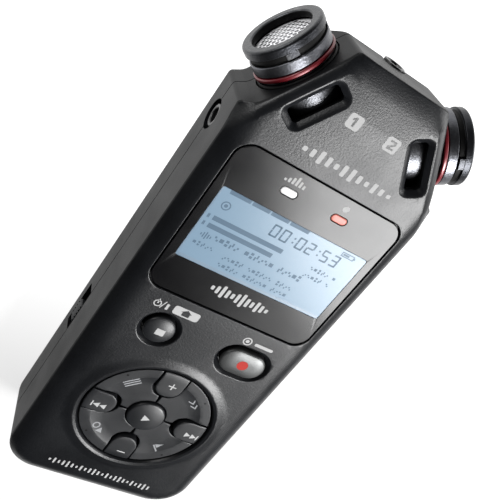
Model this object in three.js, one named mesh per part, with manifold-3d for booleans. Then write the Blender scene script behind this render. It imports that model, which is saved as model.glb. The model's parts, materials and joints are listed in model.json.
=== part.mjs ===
// Handheld stereo field recorder, lying on its back with the display up.
//
// Millimetres. +X is the reader's right, +Y runs from the tail to the microphones and +Z comes out of the
// display. Lengths are measured from the tail end and heights from the flat back; the root group then puts
// the origin under the middle of the overall length.

import * as THREE from 'three';
import { mergeVertices } from 'three/addons/utils/BufferGeometryUtils.js';
import Module from 'manifold-3d';

const wasm = await Module();
wasm.setup();

// ---------- driving dimensions ----------

const GAP = 0.3; // clearance between neighbouring pieces
const DEG = Math.PI / 180;

// Case
const HALF_WIDTH = 26.8;
const CASE_LENGTH = 140.2;
const FACE_Z = 25; // flat front face
const SEAM_Z = 11; // joint between the front and rear covers
const WALL = 2;
const TAIL_CORNER = 9.5;
const SHOULDER_Y = 118.8;
const HEAD_LEAN = 0.035; // the head end is drawn in by this much per mm of depth
const CROWN_START = 20; // the front face falls away outside this half width
const CROWN_DROP = 2.6;
const BACK_RADIUS = 4.5;
const CAVITY_TOP = 22.4; // underside of the front face
const CAVITY_SIDE_TOP = 20.4; // the same under the crowned edges
const FLOOR = 2.6; // thickness of the back

// Microphones: the axis of each points outwards and forwards in the XY plane
const MIC_ANGLE = 31 * DEG;
const MIC_X = 25.6;
const MIC_Y = 133.7;
const MIC_Z = 13.7;
const MIC_RADIUS = 9;
const RIM_BEVEL = 0.8;
const NECK_SETBACK = 8.1; // from the rim face back to the case's neck face
const BARREL_RADIUS = 8.5;
const BARREL_DEPTH = 16.7;
const COLLAR_RADIUS = 9.2;
const COLLAR_DEPTH = 11;
const WINDOW_DEPTH = 13.6; // middle of the case window, along the microphone's axis
const WINDOW_LENGTH = 11.6;
const WINDOW_WIDTH = 3.8;
const WINDOW_BEVEL = 1;
const MIC_SEGMENTS = 24;

// Display
const LENS = { y: 92.7, width: 44.8, length: 41.2, corner: 4, bottom: 23.7, top: 24.7 };
const SCREEN = { y: 91.9, width: 40.3, length: 20.2, corner: 1 };
const LAMP = { x: 7, y: 107.7, width: 4, height: 1.7 };

// Keys
const KEY_TRAVEL = 0.6;
const FLANGE_BOTTOM = 21.4;
const FLANGE_TOP = 22.1;
const ROUND_KEY = { x: 12.05, y: 60.8, radius: 3.95, dish: 5.5, top: 25.9 };
const RECORD_HALF = 2.3; // half the straight part of the record key
const PAD = { y: 32.7, radius: 17.2, flange: 18.5, arrow: 3.6, inner: 8.9, play: 5.1 };
const PAD_TOP = 24.9; // four quadrant keys
const ARROW_TOP = 25.2; // plus, minus, rewind and forward keys
const PLAY_TOP = 25.6;
const PLAY_FLANGE = { radius: 6.2, bottom: 20, top: FLANGE_BOTTOM - KEY_TRAVEL - 0.1 };
const MAT = { bottom: 18.5, top: 19.2 };
const BOARD = { bottom: 17.2, top: 18.2, y0: 11, y1: 112.5, half: 23.5 };

// Battery bay, two AA cells side by side
const CELL = { radius: 7, length: 50.2, x: 7.3, y: 12, z: 8.75 };
const BAY = { half: 14.6, y0: 10, y1: 67.5, top: 16.1, wall: 0.8 };
const HATCH = { half: 17, y1: 69, thickness: 1.5 };

// Sockets and controls in the sides
const PHONES = { y: 109.9, z: 11.3 };
const LINE_IN = { x: 0.6, z: 11.4 };
const JACK = { ring: 2.7, hole: 1.8, recess: 3.7, body: 6, length: 12 };
const HOLD = { y: 46, z: 8.6, recess: 13.6, height: 4.2, depth: 1.2, knob: 6, travel: 3 };
const DOOR = { y0: 72, y1: 97.5, z0: 12.6, z1: 18.2, thickness: 1.2 };
const TRIPOD = { y: 78, hole: 3.2, nut: 5.2, top: 9 };
const SPEAKER = { y: 98, radius: 8, top: 6.5 };
const SCREWS = [[-20.3, 7.5], [20.3, 7.5], [-20.8, 116.2], [20.8, 116.2]];
const SCREW = { head: 1.9, shaft: 1, headBottom: 5, top: 17 };

// Outward unit vectors of a microphone and of a shoulder; side is -1 on the left and 1 on the right
const micAxis = (side) => new THREE.Vector3(side * Math.cos(MIC_ANGLE), Math.sin(MIC_ANGLE), 0);
const shoulderAxis = (side) => new THREE.Vector3(side * Math.sin(MIC_ANGLE), Math.cos(MIC_ANGLE), 0);
const NECK_DISTANCE = micAxis(1).dot(new THREE.Vector3(MIC_X, MIC_Y, 0)) - NECK_SETBACK;
const SHOULDER_DISTANCE = shoulderAxis(1).dot(new THREE.Vector3(HALF_WIDTH, SHOULDER_Y, 0));
const OVERALL_LENGTH = MIC_Y - RIM_BEVEL * Math.sin(MIC_ANGLE) + MIC_RADIUS * Math.cos(MIC_ANGLE);

// ---------- looks ----------

const LOOKS = {
  casing: { color: 0x2c2d2f, roughness: 0.55, metalness: 0 },
  lens: { color: 0x303134, roughness: 0.1, metalness: 0 },
  screen: { color: 0xaccbe2, roughness: 0.3, metalness: 0 },
  whiteLamp: { color: 0xf2f2f2, roughness: 0.4, metalness: 0 },
  redLamp: { color: 0xe8857c, roughness: 0.4, metalness: 0 },
  key: { color: 0x2a2b2d, roughness: 0.45, metalness: 0 },
  recordKey: { color: 0x77787b, roughness: 0.3, metalness: 0.6 },
  rubber: { color: 0x1c1c1c, roughness: 0.8, metalness: 0 },
  board: { color: 0x1d4a2c, roughness: 0.6, metalness: 0 },
  blackPlastic: { color: 0x0e0e0f, roughness: 0.4, metalness: 0 },
  redRing: { color: 0x9b2b30, roughness: 0.4, metalness: 0.2 },
  barrel: { color: 0xb9babd, roughness: 0.35, metalness: 0.9 },
  rim: { color: 0x6d6e70, roughness: 0.4, metalness: 0.8 },
  steel: { color: 0xa8a9ab, roughness: 0.35, metalness: 1 },
  brass: { color: 0xb8975a, roughness: 0.35, metalness: 1 },
  cell: { color: 0x3f5f86, roughness: 0.4, metalness: 0.3 },
};

// ---------- solids ----------

// Closed solid from a three.js geometry
function solid(geometry) {
  const bare = geometry.clone();
  bare.deleteAttribute('normal');
  bare.deleteAttribute('uv');
  const merged = mergeVertices(bare, 1e-5);
  return new wasm.Manifold(new wasm.Mesh({
    numProp: 3,
    vertProperties: new Float32Array(merged.attributes.position.array),
    triVerts: new Uint32Array(merged.index.array),
  }));
}

function geometryOf(manifold) {
  const { numProp, vertProperties, triVerts } = manifold.getMesh();
  const positions = new Float32Array((vertProperties.length / numProp) * 3);
  for (let i = 0; i < positions.length / 3; i++) {
    positions.set(vertProperties.subarray(i * numProp, i * numProp + 3), i * 3);
  }
  const geometry = new THREE.BufferGeometry();
  geometry.setAttribute('position', new THREE.BufferAttribute(positions, 3));
  geometry.setIndex(new THREE.BufferAttribute(new Uint32Array(triVerts), 1));
  geometry.computeVertexNormals();
  return geometry;
}

const vector = (x, y, z) => new THREE.Vector3(x, y, z);

// Extrudes a shape from one height to another along an axis. The shape lies in the XY plane for z,
// in the YZ plane for x and in the XZ plane for y.
function extrude(axis, shape, from, to) {
  const settings = { depth: to - from, bevelEnabled: false, curveSegments: 6 };
  const geometry = new THREE.ExtrudeGeometry(shape, settings);
  const turn = new THREE.Matrix4();
  if (axis === 'x') turn.makeBasis(vector(0, 1, 0), vector(0, 0, 1), vector(1, 0, 0)).setPosition(from, 0, 0);
  if (axis === 'y') turn.makeBasis(vector(1, 0, 0), vector(0, 0, 1), vector(0, -1, 0)).setPosition(0, to, 0);
  if (axis === 'z') turn.setPosition(0, 0, from);
  return solid(geometry.applyMatrix4(turn));
}

// Vertical prism that widens by one bevel at the given height
function flared(shape, bottom, bevelHeight, bevel) {
  const settings = {
    depth: 3, bevelThickness: bevelHeight, bevelSize: bevel, bevelSegments: 1, curveSegments: 6,
  };
  const cutter = new THREE.ExtrudeGeometry(shape, settings).translate(0, 0, bottom + bevelHeight);
  return solid(cutter);
}

function box(x0, x1, y0, y1, z0, z1) {
  const middle = [(x0 + x1) / 2, (y0 + y1) / 2, (z0 + z1) / 2];
  return solid(new THREE.BoxGeometry(x1 - x0, y1 - y0, z1 - z0).translate(...middle));
}

// Upright round solid from its half profile, a list of [radius, height]
function turned(profile, x = 0, y = 0, segments = MIC_SEGMENTS) {
  const points = profile.map(([radius, height]) => new THREE.Vector2(radius, height));
  const lathe = new THREE.LatheGeometry(points, segments);
  return solid(lathe.rotateX(Math.PI / 2).translate(x, y, 0));
}

// Upright cylinder, or a cone with two radii
function post(x, y, radius, z0, z1, segments = 20, topRadius = radius) {
  return turned([[0, z0], [radius, z0], [topRadius, z1], [0, z1]], x, y, segments);
}

// Cylinder along X or Y
function bar(axis, a, z, radius, from, to, segments = 16) {
  const rod = new THREE.CylinderGeometry(radius, radius, to - from, segments);
  rod.translate(0, (from + to) / 2, 0);
  if (axis === 'x') rod.rotateZ(-Math.PI / 2).translate(0, a, z);
  if (axis === 'y') rod.translate(a, 0, z);
  return solid(rod);
}

// ---------- outlines ----------

// Closed outline through the given [x, y, radius] corners, each rounded to its radius
function roundedOutline(corners) {
  const points = [];
  corners.forEach(([x, y, radius], i) => {
    const corner = new THREE.Vector2(x, y);
    const before = new THREE.Vector2(...corners.at(i - 1)).sub(corner).normalize();
    const after = new THREE.Vector2(...corners[(i + 1) % corners.length]).sub(corner).normalize();
    const turn = Math.PI - Math.acos(THREE.MathUtils.clamp(before.dot(after), -1, 1));
    if (radius === 0) {
      points.push(corner);
      return;
    }
    const reach = radius * Math.tan(turn / 2);
    const bisector = before.clone().add(after).normalize();
    const centre = corner.clone().addScaledVector(bisector, radius / Math.cos(turn / 2));
    const start = corner.clone().addScaledVector(before, reach).sub(centre);
    const sign = Math.sign(before.cross(after)) * -1;
    const steps = Math.max(2, Math.round(turn / (18 * DEG)));
    for (let k = 0; k <= steps; k++) {
      const spoke = start.clone().rotateAround(new THREE.Vector2(), (sign * turn * k) / steps);
      points.push(centre.clone().add(spoke));
    }
  });
  return new THREE.Shape(points);
}

function roundedRectangle(x, y, width, height, radius) {
  const [w, h] = [width / 2, height / 2];
  return roundedOutline([
    [x - w, y - h, radius], [x + w, y - h, radius], [x + w, y + h, radius], [x - w, y + h, radius],
  ]);
}

// Two half circles joined by straight sides that run along X
function obround(x, y, half, radius) {
  const shape = new THREE.Shape();
  shape.absarc(x + half, y, radius, -90 * DEG, 90 * DEG);
  shape.absarc(x - half, y, radius, 90 * DEG, 270 * DEG);
  return shape;
}

// Point where the lines n1.p = c1 and n2.p = c2 cross
function crossing([nx1, ny1, c1], [nx2, ny2, c2]) {
  const determinant = nx1 * ny2 - nx2 * ny1;
  return [(c1 * ny2 - c2 * ny1) / determinant, (nx1 * c2 - nx2 * c1) / determinant];
}

// Plan of the case: straight sides, sloped shoulders, then a neck square to each microphone
function caseOutline(inset = 0) {
  const [cos, sin] = [Math.cos(MIC_ANGLE), Math.sin(MIC_ANGLE)];
  const side = [1, 0, HALF_WIDTH - inset];
  const shoulder = [sin, cos, SHOULDER_DISTANCE - inset];
  const neck = [cos, sin, NECK_DISTANCE - inset];
  const top = [0, 1, CASE_LENGTH - inset];
  const tail = [0, 1, inset];
  const right = [
    [...crossing(tail, side), TAIL_CORNER - inset],
    [...crossing(side, shoulder), 1.2],
    [...crossing(shoulder, neck), 4],
    [...crossing(neck, top), 1.6],
  ];
  const left = right.map(([x, y, radius]) => [-x, y, radius]).reverse();
  return roundedOutline([...right, ...left]);
}

// Section across the case: rounded back corners and a front face that falls away at the sides
function acrossOutline() {
  const right = [];
  for (let k = 0; k <= 3; k++) {
    const angle = (k / 3) * 90 * DEG;
    const x = HALF_WIDTH - BACK_RADIUS * (1 - Math.sin(angle));
    right.push(new THREE.Vector2(x, BACK_RADIUS * (1 - Math.cos(angle))));
  }
  for (let k = 3; k >= 0; k--) {
    const share = k / 3;
    const x = CROWN_START + share * (HALF_WIDTH - CROWN_START);
    right.push(new THREE.Vector2(x, FACE_Z - CROWN_DROP * share ** 2));
  }
  const left = right.map((point) => new THREE.Vector2(-point.x, point.y)).reverse();
  return new THREE.Shape([...right, ...left]);
}

// Section along the case: rounded tail, head sloping down at the front and drawn in at the back
function alongOutline() {
  const points = [];
  for (let k = 0; k <= 3; k++) {
    const share = k / 3;
    points.push([5 - 4.7 * share, FACE_Z - 2.1 * share ** 2]);
  }
  for (let k = 0; k <= 3; k++) {
    const angle = (k / 3) * 90 * DEG;
    points.push([3 * (1 - Math.cos(angle)), 4 * (1 - Math.sin(angle))]);
  }
  points.push([133.5, 0], [136.5, 2.2], [CASE_LENGTH, SEAM_Z]);
  for (let k = 3; k >= 0; k--) {
    const share = k / 3;
    points.push([120 + (CASE_LENGTH - 120) * share, FACE_Z - 1.5 * share ** 2]);
  }
  return new THREE.Shape(points.map(([y, z]) => new THREE.Vector2(y, z)));
}

// Outer skin of the case between two heights
function caseBlock(z0, z1) {
  return extrude('z', caseOutline(), z0, z1)
    .intersect(extrude('y', acrossOutline(), -1, CASE_LENGTH + 1))
    .intersect(extrude('x', alongOutline(), -HALF_WIDTH - 1, HALF_WIDTH + 1))
    .warp((point) => {
      if (point[1] > SHOULDER_Y - 2) point[1] -= HEAD_LEAN * Math.max(0, FACE_Z - CROWN_DROP - point[2]);
    });
}

// ---------- cutters shared by the two covers ----------

// Cylinder on a microphone's axis between two depths behind its rim face
function micCylinder(side, radius, fromDepth, toDepth) {
  const rod = new THREE.CylinderGeometry(radius, radius, toDepth - fromDepth, MIC_SEGMENTS);
  rod.translate(0, -(fromDepth + toDepth) / 2, 0);
  rod.applyQuaternion(new THREE.Quaternion().setFromUnitVectors(vector(0, 1, 0), micAxis(side)));
  return solid(rod.translate(side * MIC_X, MIC_Y, MIC_Z));
}

function micSeats() {
  const cuts = [-1, 1].flatMap((side) => [
    micCylinder(side, COLLAR_RADIUS + GAP, 5, COLLAR_DEPTH + GAP),
    micCylinder(side, BARREL_RADIUS + GAP, 5, BARREL_DEPTH + GAP),
  ]);
  return cuts.reduce((all, cut) => all.add(cut));
}

// Room for both jacks, whose middles lie close to the seam
function jackSeats() {
  const half = JACK.body / 2 + GAP;
  const outer = HALF_WIDTH + 1;
  return bar('x', PHONES.y, PHONES.z, JACK.recess, -outer, -HALF_WIDTH + WALL + 1)
    .add(box(-outer + 2, -outer + JACK.length + 2, PHONES.y - half, PHONES.y + half,
      PHONES.z - half, PHONES.z + half))
    .add(bar('y', LINE_IN.x, LINE_IN.z, JACK.ring + GAP, CASE_LENGTH - WALL - 1, CASE_LENGTH + 1))
    .add(box(LINE_IN.x - half, LINE_IN.x + half, CASE_LENGTH - JACK.length - 1.5, CASE_LENGTH - 1.2,
      LINE_IN.z - half, LINE_IN.z + half));
}

// Slot with a chamfered mouth that shows the microphone's barrel
function micWindow(side) {
  const axis = micAxis(side);
  const slot = roundedRectangle(0, 0, WINDOW_WIDTH, WINDOW_LENGTH, 0.9);
  const mouth = FACE_Z - 1.9;
  const cutter = flared(slot, mouth, 2, WINDOW_BEVEL);
  const deep = extrude('z', slot, CAVITY_TOP - 4, mouth + 1);
  const place = (piece) => piece
    .rotate([0, 0, (side * MIC_ANGLE) / DEG])
    .translate([side * MIC_X - axis.x * WINDOW_DEPTH, MIC_Y - axis.y * WINDOW_DEPTH + 0.2, 0]);
  return place(cutter).add(place(deep));
}

// Long prism whose section is given as [distance along a level normal, height] points
function edgeCutter(normal, section) {
  const shape = new THREE.Shape(section.map(([distance, z]) => new THREE.Vector2(distance, z)));
  const geometry = new THREE.ExtrudeGeometry(shape, { depth: 240, bevelEnabled: false })
    .translate(0, 0, -120);
  const up = vector(0, 0, 1);
  return solid(geometry.applyMatrix4(new THREE.Matrix4().makeBasis(normal, up, normal.clone().cross(up))));
}

// Takes the front face down towards a microphone's neck face
function neckChamfer(side) {
  const face = NECK_DISTANCE;
  return edgeCutter(micAxis(side), [
    [face - 2.3, FACE_Z + 0.05], [face + 1, FACE_Z - 1.6], [face + 1, FACE_Z + 2], [face - 2.3, FACE_Z + 2],
  ]);
}

// Rounds the back of a shoulder, as far in as the neck face
function shoulderRound(side) {
  const face = SHOULDER_DISTANCE;
  const start = NECK_DISTANCE - 1.5;
  const beyondNeck = edgeCutter(micAxis(side), [
    [start, -1], [start + 60, -1], [start + 60, SEAM_Z], [start, SEAM_Z],
  ]);
  return beyondNeck.intersect(edgeCutter(shoulderAxis(side), [
    [face - 4.5, -0.1], [face - 4.5, -1], [face + 2, -1], [face + 2, 10], [face - 0.4, 5.6], [face - 1.8, 2],
  ]));
}

// ---------- covers ----------

function frontCover() {
  const cavity = extrude('z', caseOutline(WALL), SEAM_Z - 1, CAVITY_SIDE_TOP)
    .add(extrude('z', caseOutline(WALL + 2.6), SEAM_Z - 1, CAVITY_TOP));
  let cover = caseBlock(SEAM_Z + GAP / 2, FACE_Z + 1).subtract(cavity);

  for (const [x, y] of SCREWS) {
    const boss = post(x, y, 2.6, SEAM_Z + GAP, CAVITY_TOP + 0.5, 16);
    const web = box(Math.min(x, x + 5 * Math.sign(x)), Math.max(x, x + 5 * Math.sign(x)),
      y - 0.5, y + 0.5, SEAM_Z + 1, CAVITY_TOP);
    const inside = extrude('z', caseOutline(1), SEAM_Z, CAVITY_TOP + 0.5);
    cover = cover.add(boss.add(web).intersect(inside));
  }
  for (const [x, y] of SCREWS) {
    cover = cover.subtract(post(x, y, SCREW.shaft + GAP, SEAM_Z, SCREW.top + GAP, 16));
  }

  const { y, width, length, corner, bottom } = LENS;
  const lensSeat = roundedRectangle(0, y, width + 2 * GAP, length + 2 * GAP, corner + GAP);
  const screen = roundedRectangle(0, SCREEN.y, SCREEN.width, SCREEN.length, SCREEN.corner);
  cover = cover
    .subtract(extrude('z', lensSeat, bottom - GAP, FACE_Z + 1))
    .subtract(extrude('z', screen, CAVITY_TOP - 1, FACE_Z))
    .subtract(lampSlots(CAVITY_TOP - 1, FACE_Z))
    .subtract(keyHoles())
    .subtract(micSeats())
    .subtract(jackSeats())
    .subtract(doorRecess());
  for (const side of [-1, 1]) {
    cover = cover.subtract(micWindow(side)).subtract(neckChamfer(side));
  }
  return cover;
}

function keyHoles() {
  const { x, y, radius, dish } = ROUND_KEY;
  const hole = radius + GAP;
  const stop = post(-x, y, hole, CAVITY_TOP - 1, FACE_Z + 1)
    .add(post(-x, y, hole, FACE_Z - 1.3, FACE_Z + 0.01, 20, dish));
  const slot = obround(x, y, RECORD_HALF, hole);
  const record = extrude('z', slot, CAVITY_TOP - 1, FACE_Z + 1).add(flared(slot, FACE_Z - 1.3, 1.4, 1.3));
  const pad = post(0, PAD.y, PAD.radius + GAP, CAVITY_TOP - 1, FACE_Z + 1, 40)
    .add(post(0, PAD.y, PAD.radius + GAP, FACE_Z - 0.7, FACE_Z + 0.01, 40, PAD.radius + GAP + 0.6));
  return stop.add(record).add(pad);
}

function lampSlots(z0, z1) {
  const slot = (x) => obround(x, LAMP.y, (LAMP.width - LAMP.height) / 2, LAMP.height / 2 + GAP);
  return extrude('z', slot(-LAMP.x), z0, z1).add(extrude('z', slot(LAMP.x), z0, z1));
}

function rearCover() {
  const { half, y0, y1, top, wall } = BAY;
  const cavity = extrude('z', caseOutline(WALL), FLOOR, SEAM_Z + 1)
    .intersect(box(-40, 40, 0, 134, 0, 20))
    .subtract(box(-40, -20, SHOULDER_Y - 5, 134, 0, 20))
    .subtract(box(20, 40, SHOULDER_Y - 5, 134, 0, 20));
  let cover = caseBlock(0, SEAM_Z - GAP / 2).subtract(cavity);
  cover = cover.add(box(-half - wall, half + wall, y0 - wall, y1 + wall, FLOOR - 0.5, top + wall));
  for (const [x, y] of SCREWS) {
    cover = cover.add(post(x, y, 3.2, 0.5, SEAM_Z - GAP / 2, 16).intersect(caseBlock(0, SEAM_Z)));
  }
  cover = cover.add(post(0, TRIPOD.y, TRIPOD.nut + 1.6, FLOOR - 0.5, TRIPOD.top));

  cover = cover
    .subtract(box(-half, half, y0, y1, -1, top))
    .subtract(box(-HATCH.half - GAP, HATCH.half + GAP, -1, HATCH.y1 + GAP, -1, HATCH.thickness + GAP))
    .subtract(post(0, TRIPOD.y, TRIPOD.hole + 0.4, -1, FLOOR + 1))
    .subtract(post(0, TRIPOD.y, TRIPOD.nut + GAP, FLOOR, TRIPOD.top + 1))
    .subtract(speakerSlots())
    .subtract(micSeats())
    .subtract(jackSeats())
    .subtract(holdRecess())
    .subtract(shoulderRound(-1))
    .subtract(shoulderRound(1));
  for (const [x, y] of SCREWS) {
    cover = cover
      .subtract(post(x, y, SCREW.head + GAP, -1, SCREW.headBottom + 1.5, 16))
      .subtract(post(x, y, SCREW.shaft + GAP, 0, SEAM_Z, 16));
  }
  return cover;
}

function speakerSlots() {
  const slots = [-2, -1, 0, 1, 2].map((k) => {
    const reach = Math.sqrt((SPEAKER.radius - 1.5) ** 2 - (k * 2.4) ** 2);
    return extrude('z', roundedRectangle(0, SPEAKER.y + k * 2.4, 2 * reach, 1.1, 0.5), -1, FLOOR + 1);
  });
  return slots.reduce((all, slot) => all.add(slot));
}

function holdRecess() {
  const { y, z, recess, height, depth, knob, travel } = HOLD;
  const outer = -HALF_WIDTH - 1;
  const shape = roundedRectangle(y, z + 0.4, recess, height + 0.8, 0.7);
  return extrude('x', shape, outer, -HALF_WIDTH + depth)
    .add(box(outer, -HALF_WIDTH + WALL + 1, y - knob / 4 - travel / 2 - GAP - 1.5,
      y + knob / 4 + travel / 2 + GAP + 1.5, z - 1, z + 1));
}

function doorRecess() {
  const { y0, y1, z0, z1, thickness } = DOOR;
  const ledge = HALF_WIDTH - thickness - GAP;
  return box(ledge, HALF_WIDTH + 1, y0 - GAP, y1 + GAP, z0 - GAP, z1 + GAP)
    .add(box(HALF_WIDTH - WALL - 1, HALF_WIDTH, 73.6, 86.4, 14.4, 16.9))
    .add(box(HALF_WIDTH - WALL - 1, HALF_WIDTH, 88.2, 96.8, 13.2, 16.9));
}

// ---------- display ----------

function displayLens() {
  const { y, width, length, corner, bottom, top } = LENS;
  return extrude('z', roundedRectangle(0, y, width, length, corner), bottom, top)
    .subtract(lampSlots(bottom - 1, top + 1));
}

function screenModule() {
  const glass = extrude('z', roundedRectangle(0, SCREEN.y + 0.6, 43.4, 26.6, 0.6), 19.4, CAVITY_TOP - GAP);
  const halfWidth = SCREEN.width / 2 - 0.4;
  const halfLength = SCREEN.length / 2 - 0.4;
  return glass.subtract(box(-halfWidth, halfWidth, SCREEN.y - halfLength, SCREEN.y + halfLength,
    CAVITY_TOP - GAP - 0.3, CAVITY_TOP));
}

function lamp(side) {
  const shape = obround(side * LAMP.x, LAMP.y, (LAMP.width - LAMP.height) / 2, LAMP.height / 2);
  return extrude('z', shape, 21, LENS.top + 0.05);
}

// ---------- keys ----------

// Domed round key with a flange that holds it under the front face
function stopKey() {
  const { x, y, radius, top } = ROUND_KEY;
  const profile = [
    [0, FLANGE_BOTTOM], [radius + 1, FLANGE_BOTTOM], [radius + 1, FLANGE_TOP], [radius, FLANGE_TOP],
    [radius, top - 1.1], [radius - 0.4, top - 0.6], [radius * 0.6, top - 0.15], [0, top],
  ];
  return turned(profile, -x, y, 20);
}

function recordKey() {
  const { x, y, radius, top } = ROUND_KEY;
  const outline = (r) => obround(x, y, RECORD_HALF, r);
  const settings = { depth: 1.4, bevelThickness: 0.8, bevelSize: 0.8, bevelOffset: -0.8, bevelSegments: 2,
    curveSegments: 6 };
  const cap = new THREE.ExtrudeGeometry(outline(radius), settings).translate(0, 0, top - 2.2);
  return solid(cap)
    .add(extrude('z', outline(radius), FLANGE_BOTTOM + 0.2, top - 1.5))
    .add(extrude('z', outline(radius + 1), FLANGE_BOTTOM, FLANGE_TOP));
}

// Stepped disc that the pad's eight outer keys are cut from
function padDisc(top) {
  const { radius, flange, y } = PAD;
  const profile = [
    [0, FLANGE_BOTTOM], [flange, FLANGE_BOTTOM], [flange, FLANGE_TOP], [radius, FLANGE_TOP],
    [radius, top - 0.4], [radius - 0.4, top], [0, top],
  ];
  return turned(profile, 0, y, 40);
}

// Prism of an arrow key: straight sides and a round inner end, turned about the pad's middle
function arrowPrism(quarterTurns, clearance) {
  const half = PAD.arrow + clearance;
  const inner = PAD.inner - clearance;
  const outer = PAD.flange + 2;
  const outline = roundedOutline([
    [inner, -half, half - 0.3], [outer, -half, 0], [outer, half, 0], [inner, half, half - 0.3],
  ]);
  return extrude('z', outline, FLANGE_BOTTOM - 1, FACE_Z + 2)
    .rotate([0, 0, 90 * quarterTurns])
    .translate([0, PAD.y, 0]);
}

const arrowKey = (quarterTurns) => padDisc(ARROW_TOP).intersect(arrowPrism(quarterTurns, 0));

function quadrantKey(sideX, sideY) {
  const slit = GAP / 2;
  const span = (side) => [Math.min(side * slit, side * 30), Math.max(side * slit, side * 30)];
  const [x0, x1] = span(sideX);
  const [y0, y1] = span(sideY);
  let key = padDisc(PAD_TOP).intersect(box(x0, x1, PAD.y + y0, PAD.y + y1, FLANGE_BOTTOM - 1, FACE_Z + 2));
  for (const quarterTurns of [0, 1, 2, 3]) {
    key = key.subtract(arrowPrism(quarterTurns, GAP));
  }
  return key.subtract(post(0, PAD.y, PAD.play + GAP, FLANGE_BOTTOM - 1, FACE_Z + 2, 24));
}

function playKey() {
  const { radius, bottom, top } = PLAY_FLANGE;
  const profile = [
    [0, bottom], [radius, bottom], [radius, top], [PAD.play, top], [PAD.play, PLAY_TOP - 0.9],
    [PAD.play - 0.5, PLAY_TOP - 0.4], [PAD.play * 0.6, PLAY_TOP - 0.1], [0, PLAY_TOP],
  ];
  return turned(profile, 0, PAD.y, 24);
}

// ---------- inside ----------

const keyMat = () => extrude('z', roundedRectangle(0, 40.5, 43, 55, 3), MAT.bottom, MAT.top);

function mainBoard() {
  const { bottom, top, y0, y1, half } = BOARD;
  return extrude('z', roundedRectangle(0, (y0 + y1) / 2, 2 * half, y1 - y0, 1), bottom, top);
}

function speaker() {
  const { radius, top, y } = SPEAKER;
  const base = FLOOR + GAP;
  const profile = [
    [0, base + 0.5], [radius * 0.7, base + 0.4], [radius * 0.8, base], [radius, base], [radius, base + 1.6],
    [radius * 0.6, top], [0, top],
  ];
  return turned(profile, 0, y, 20);
}

// Hexagonal brass nut behind the hole in the back
function tripodNut() {
  return post(0, TRIPOD.y, TRIPOD.nut, FLOOR + GAP, TRIPOD.top, 6)
    .subtract(post(0, TRIPOD.y, TRIPOD.hole, FLOOR, TRIPOD.top - 1));
}

function caseScrew(x, y) {
  const { head, shaft, headBottom, top } = SCREW;
  return post(x, y, head, headBottom, headBottom + 1.2, 12).add(post(x, y, shaft, headBottom + 1, top, 12));
}

// ---------- sockets and controls in the sides ----------

// Jack pointing along +Y with its mouth at the origin: square body, round nose and a blind bore
function jackBody(noseLength) {
  const half = JACK.body / 2;
  const body = box(-half, half, -JACK.length, -noseLength, -half, half);
  return body
    .add(bar('y', 0, 0, JACK.ring, -noseLength - 1, 0))
    .subtract(bar('y', 0, 0, JACK.hole, -JACK.length + 1, 1));
}

const headphoneJack = () => jackBody(2.4)
  .rotate([0, 0, 90])
  .translate([-HALF_WIDTH + 0.4, PHONES.y, PHONES.z]);
const lineInJack = () => jackBody(2.2).translate([LINE_IN.x, CASE_LENGTH + 0.1, LINE_IN.z]);

function cardSocket() {
  return box(10, HALF_WIDTH - WALL - GAP, 74, 86, 14.7, 16.9).subtract(box(11, 30, 74.5, 85.5, 15.3, 16.3));
}

function usbSocket() {
  const shell = roundedRectangle(92.5, 15.05, 8, 3, 1.2);
  const mouth = roundedRectangle(92.5, 15.05, 7.2, 2.2, 0.9);
  const tongue = box(19.5, HALF_WIDTH - WALL - 1, 90, 95, 14.75, 15.35);
  const outer = HALF_WIDTH - WALL - GAP;
  return extrude('x', shell, 19, outer).subtract(extrude('x', mouth, 20, outer + 1)).add(tongue);
}

function cardDoor() {
  const { y0, y1, z0, z1, thickness } = DOOR;
  const plate = roundedRectangle((y0 + y1) / 2, (z0 + z1) / 2, y1 - y0, z1 - z0, 0.8);
  const nickShape = roundedRectangle((y0 + y1) / 2, z1, 5, 1.4, 0.5);
  const nick = extrude('x', nickShape, HALF_WIDTH - 0.6, HALF_WIDTH + 1);
  return extrude('x', plate, HALF_WIDTH - thickness, HALF_WIDTH).subtract(nick);
}

// Ribbed knob on a stem that reaches through the slot in the recess
function holdSlider() {
  const { y, z, knob, height, depth } = HOLD;
  const back = -HALF_WIDTH + depth - GAP;
  const front = -HALF_WIDTH - 0.2;
  const start = y - 1.5;
  let slider = extrude('x', roundedRectangle(start, z, knob, height - 1, 0.6), front, back)
    .add(box(back - 0.2, -HALF_WIDTH + WALL + 1.6, start - 1.5, start + 1.5, z - 0.7, z + 0.7));
  for (const k of [-1.5, -0.5, 0.5, 1.5]) {
    const middle = start + k * 1.2;
    slider = slider.subtract(box(front - 1, front + 0.35, middle - 0.25, middle + 0.25, 0, 20));
  }
  return slider;
}

// ---------- battery bay ----------

function batteryCover() {
  const { half, y1, thickness } = HATCH;
  let plate = caseBlock(0, thickness).intersect(box(-half, half, -1, y1, -1, thickness));
  for (let k = 0; k < 5; k++) {
    const y = 12 + k * 1.8;
    plate = plate.subtract(box(-7, 7, y, y + 0.8, -1, 0.4));
  }
  return plate;
}

// AA cell lying along Y with its cap at the tail end
function batteryCell(side) {
  const { radius, length, x, y, z } = CELL;
  const profile = [[0, 0], [2.7, 0], [2.7, 1], [radius, 1.2], [radius, length], [0, length]];
  const points = profile.map(([r, h]) => new THREE.Vector2(r, h));
  return solid(new THREE.LatheGeometry(points, 20).translate(side * x, y, z));
}

function contactPlate() {
  const { x, y, z } = CELL;
  return box(-x - 4.5, x + 4.5, BAY.y0 + 0.4, BAY.y0 + 0.9, z - 4, z + 4)
    .add(bar('y', -x, z, 2.4, BAY.y0 + 0.6, y - GAP, 12))
    .add(bar('y', x, z, 2.4, BAY.y0 + 0.6, y - GAP, 12));
}

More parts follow.
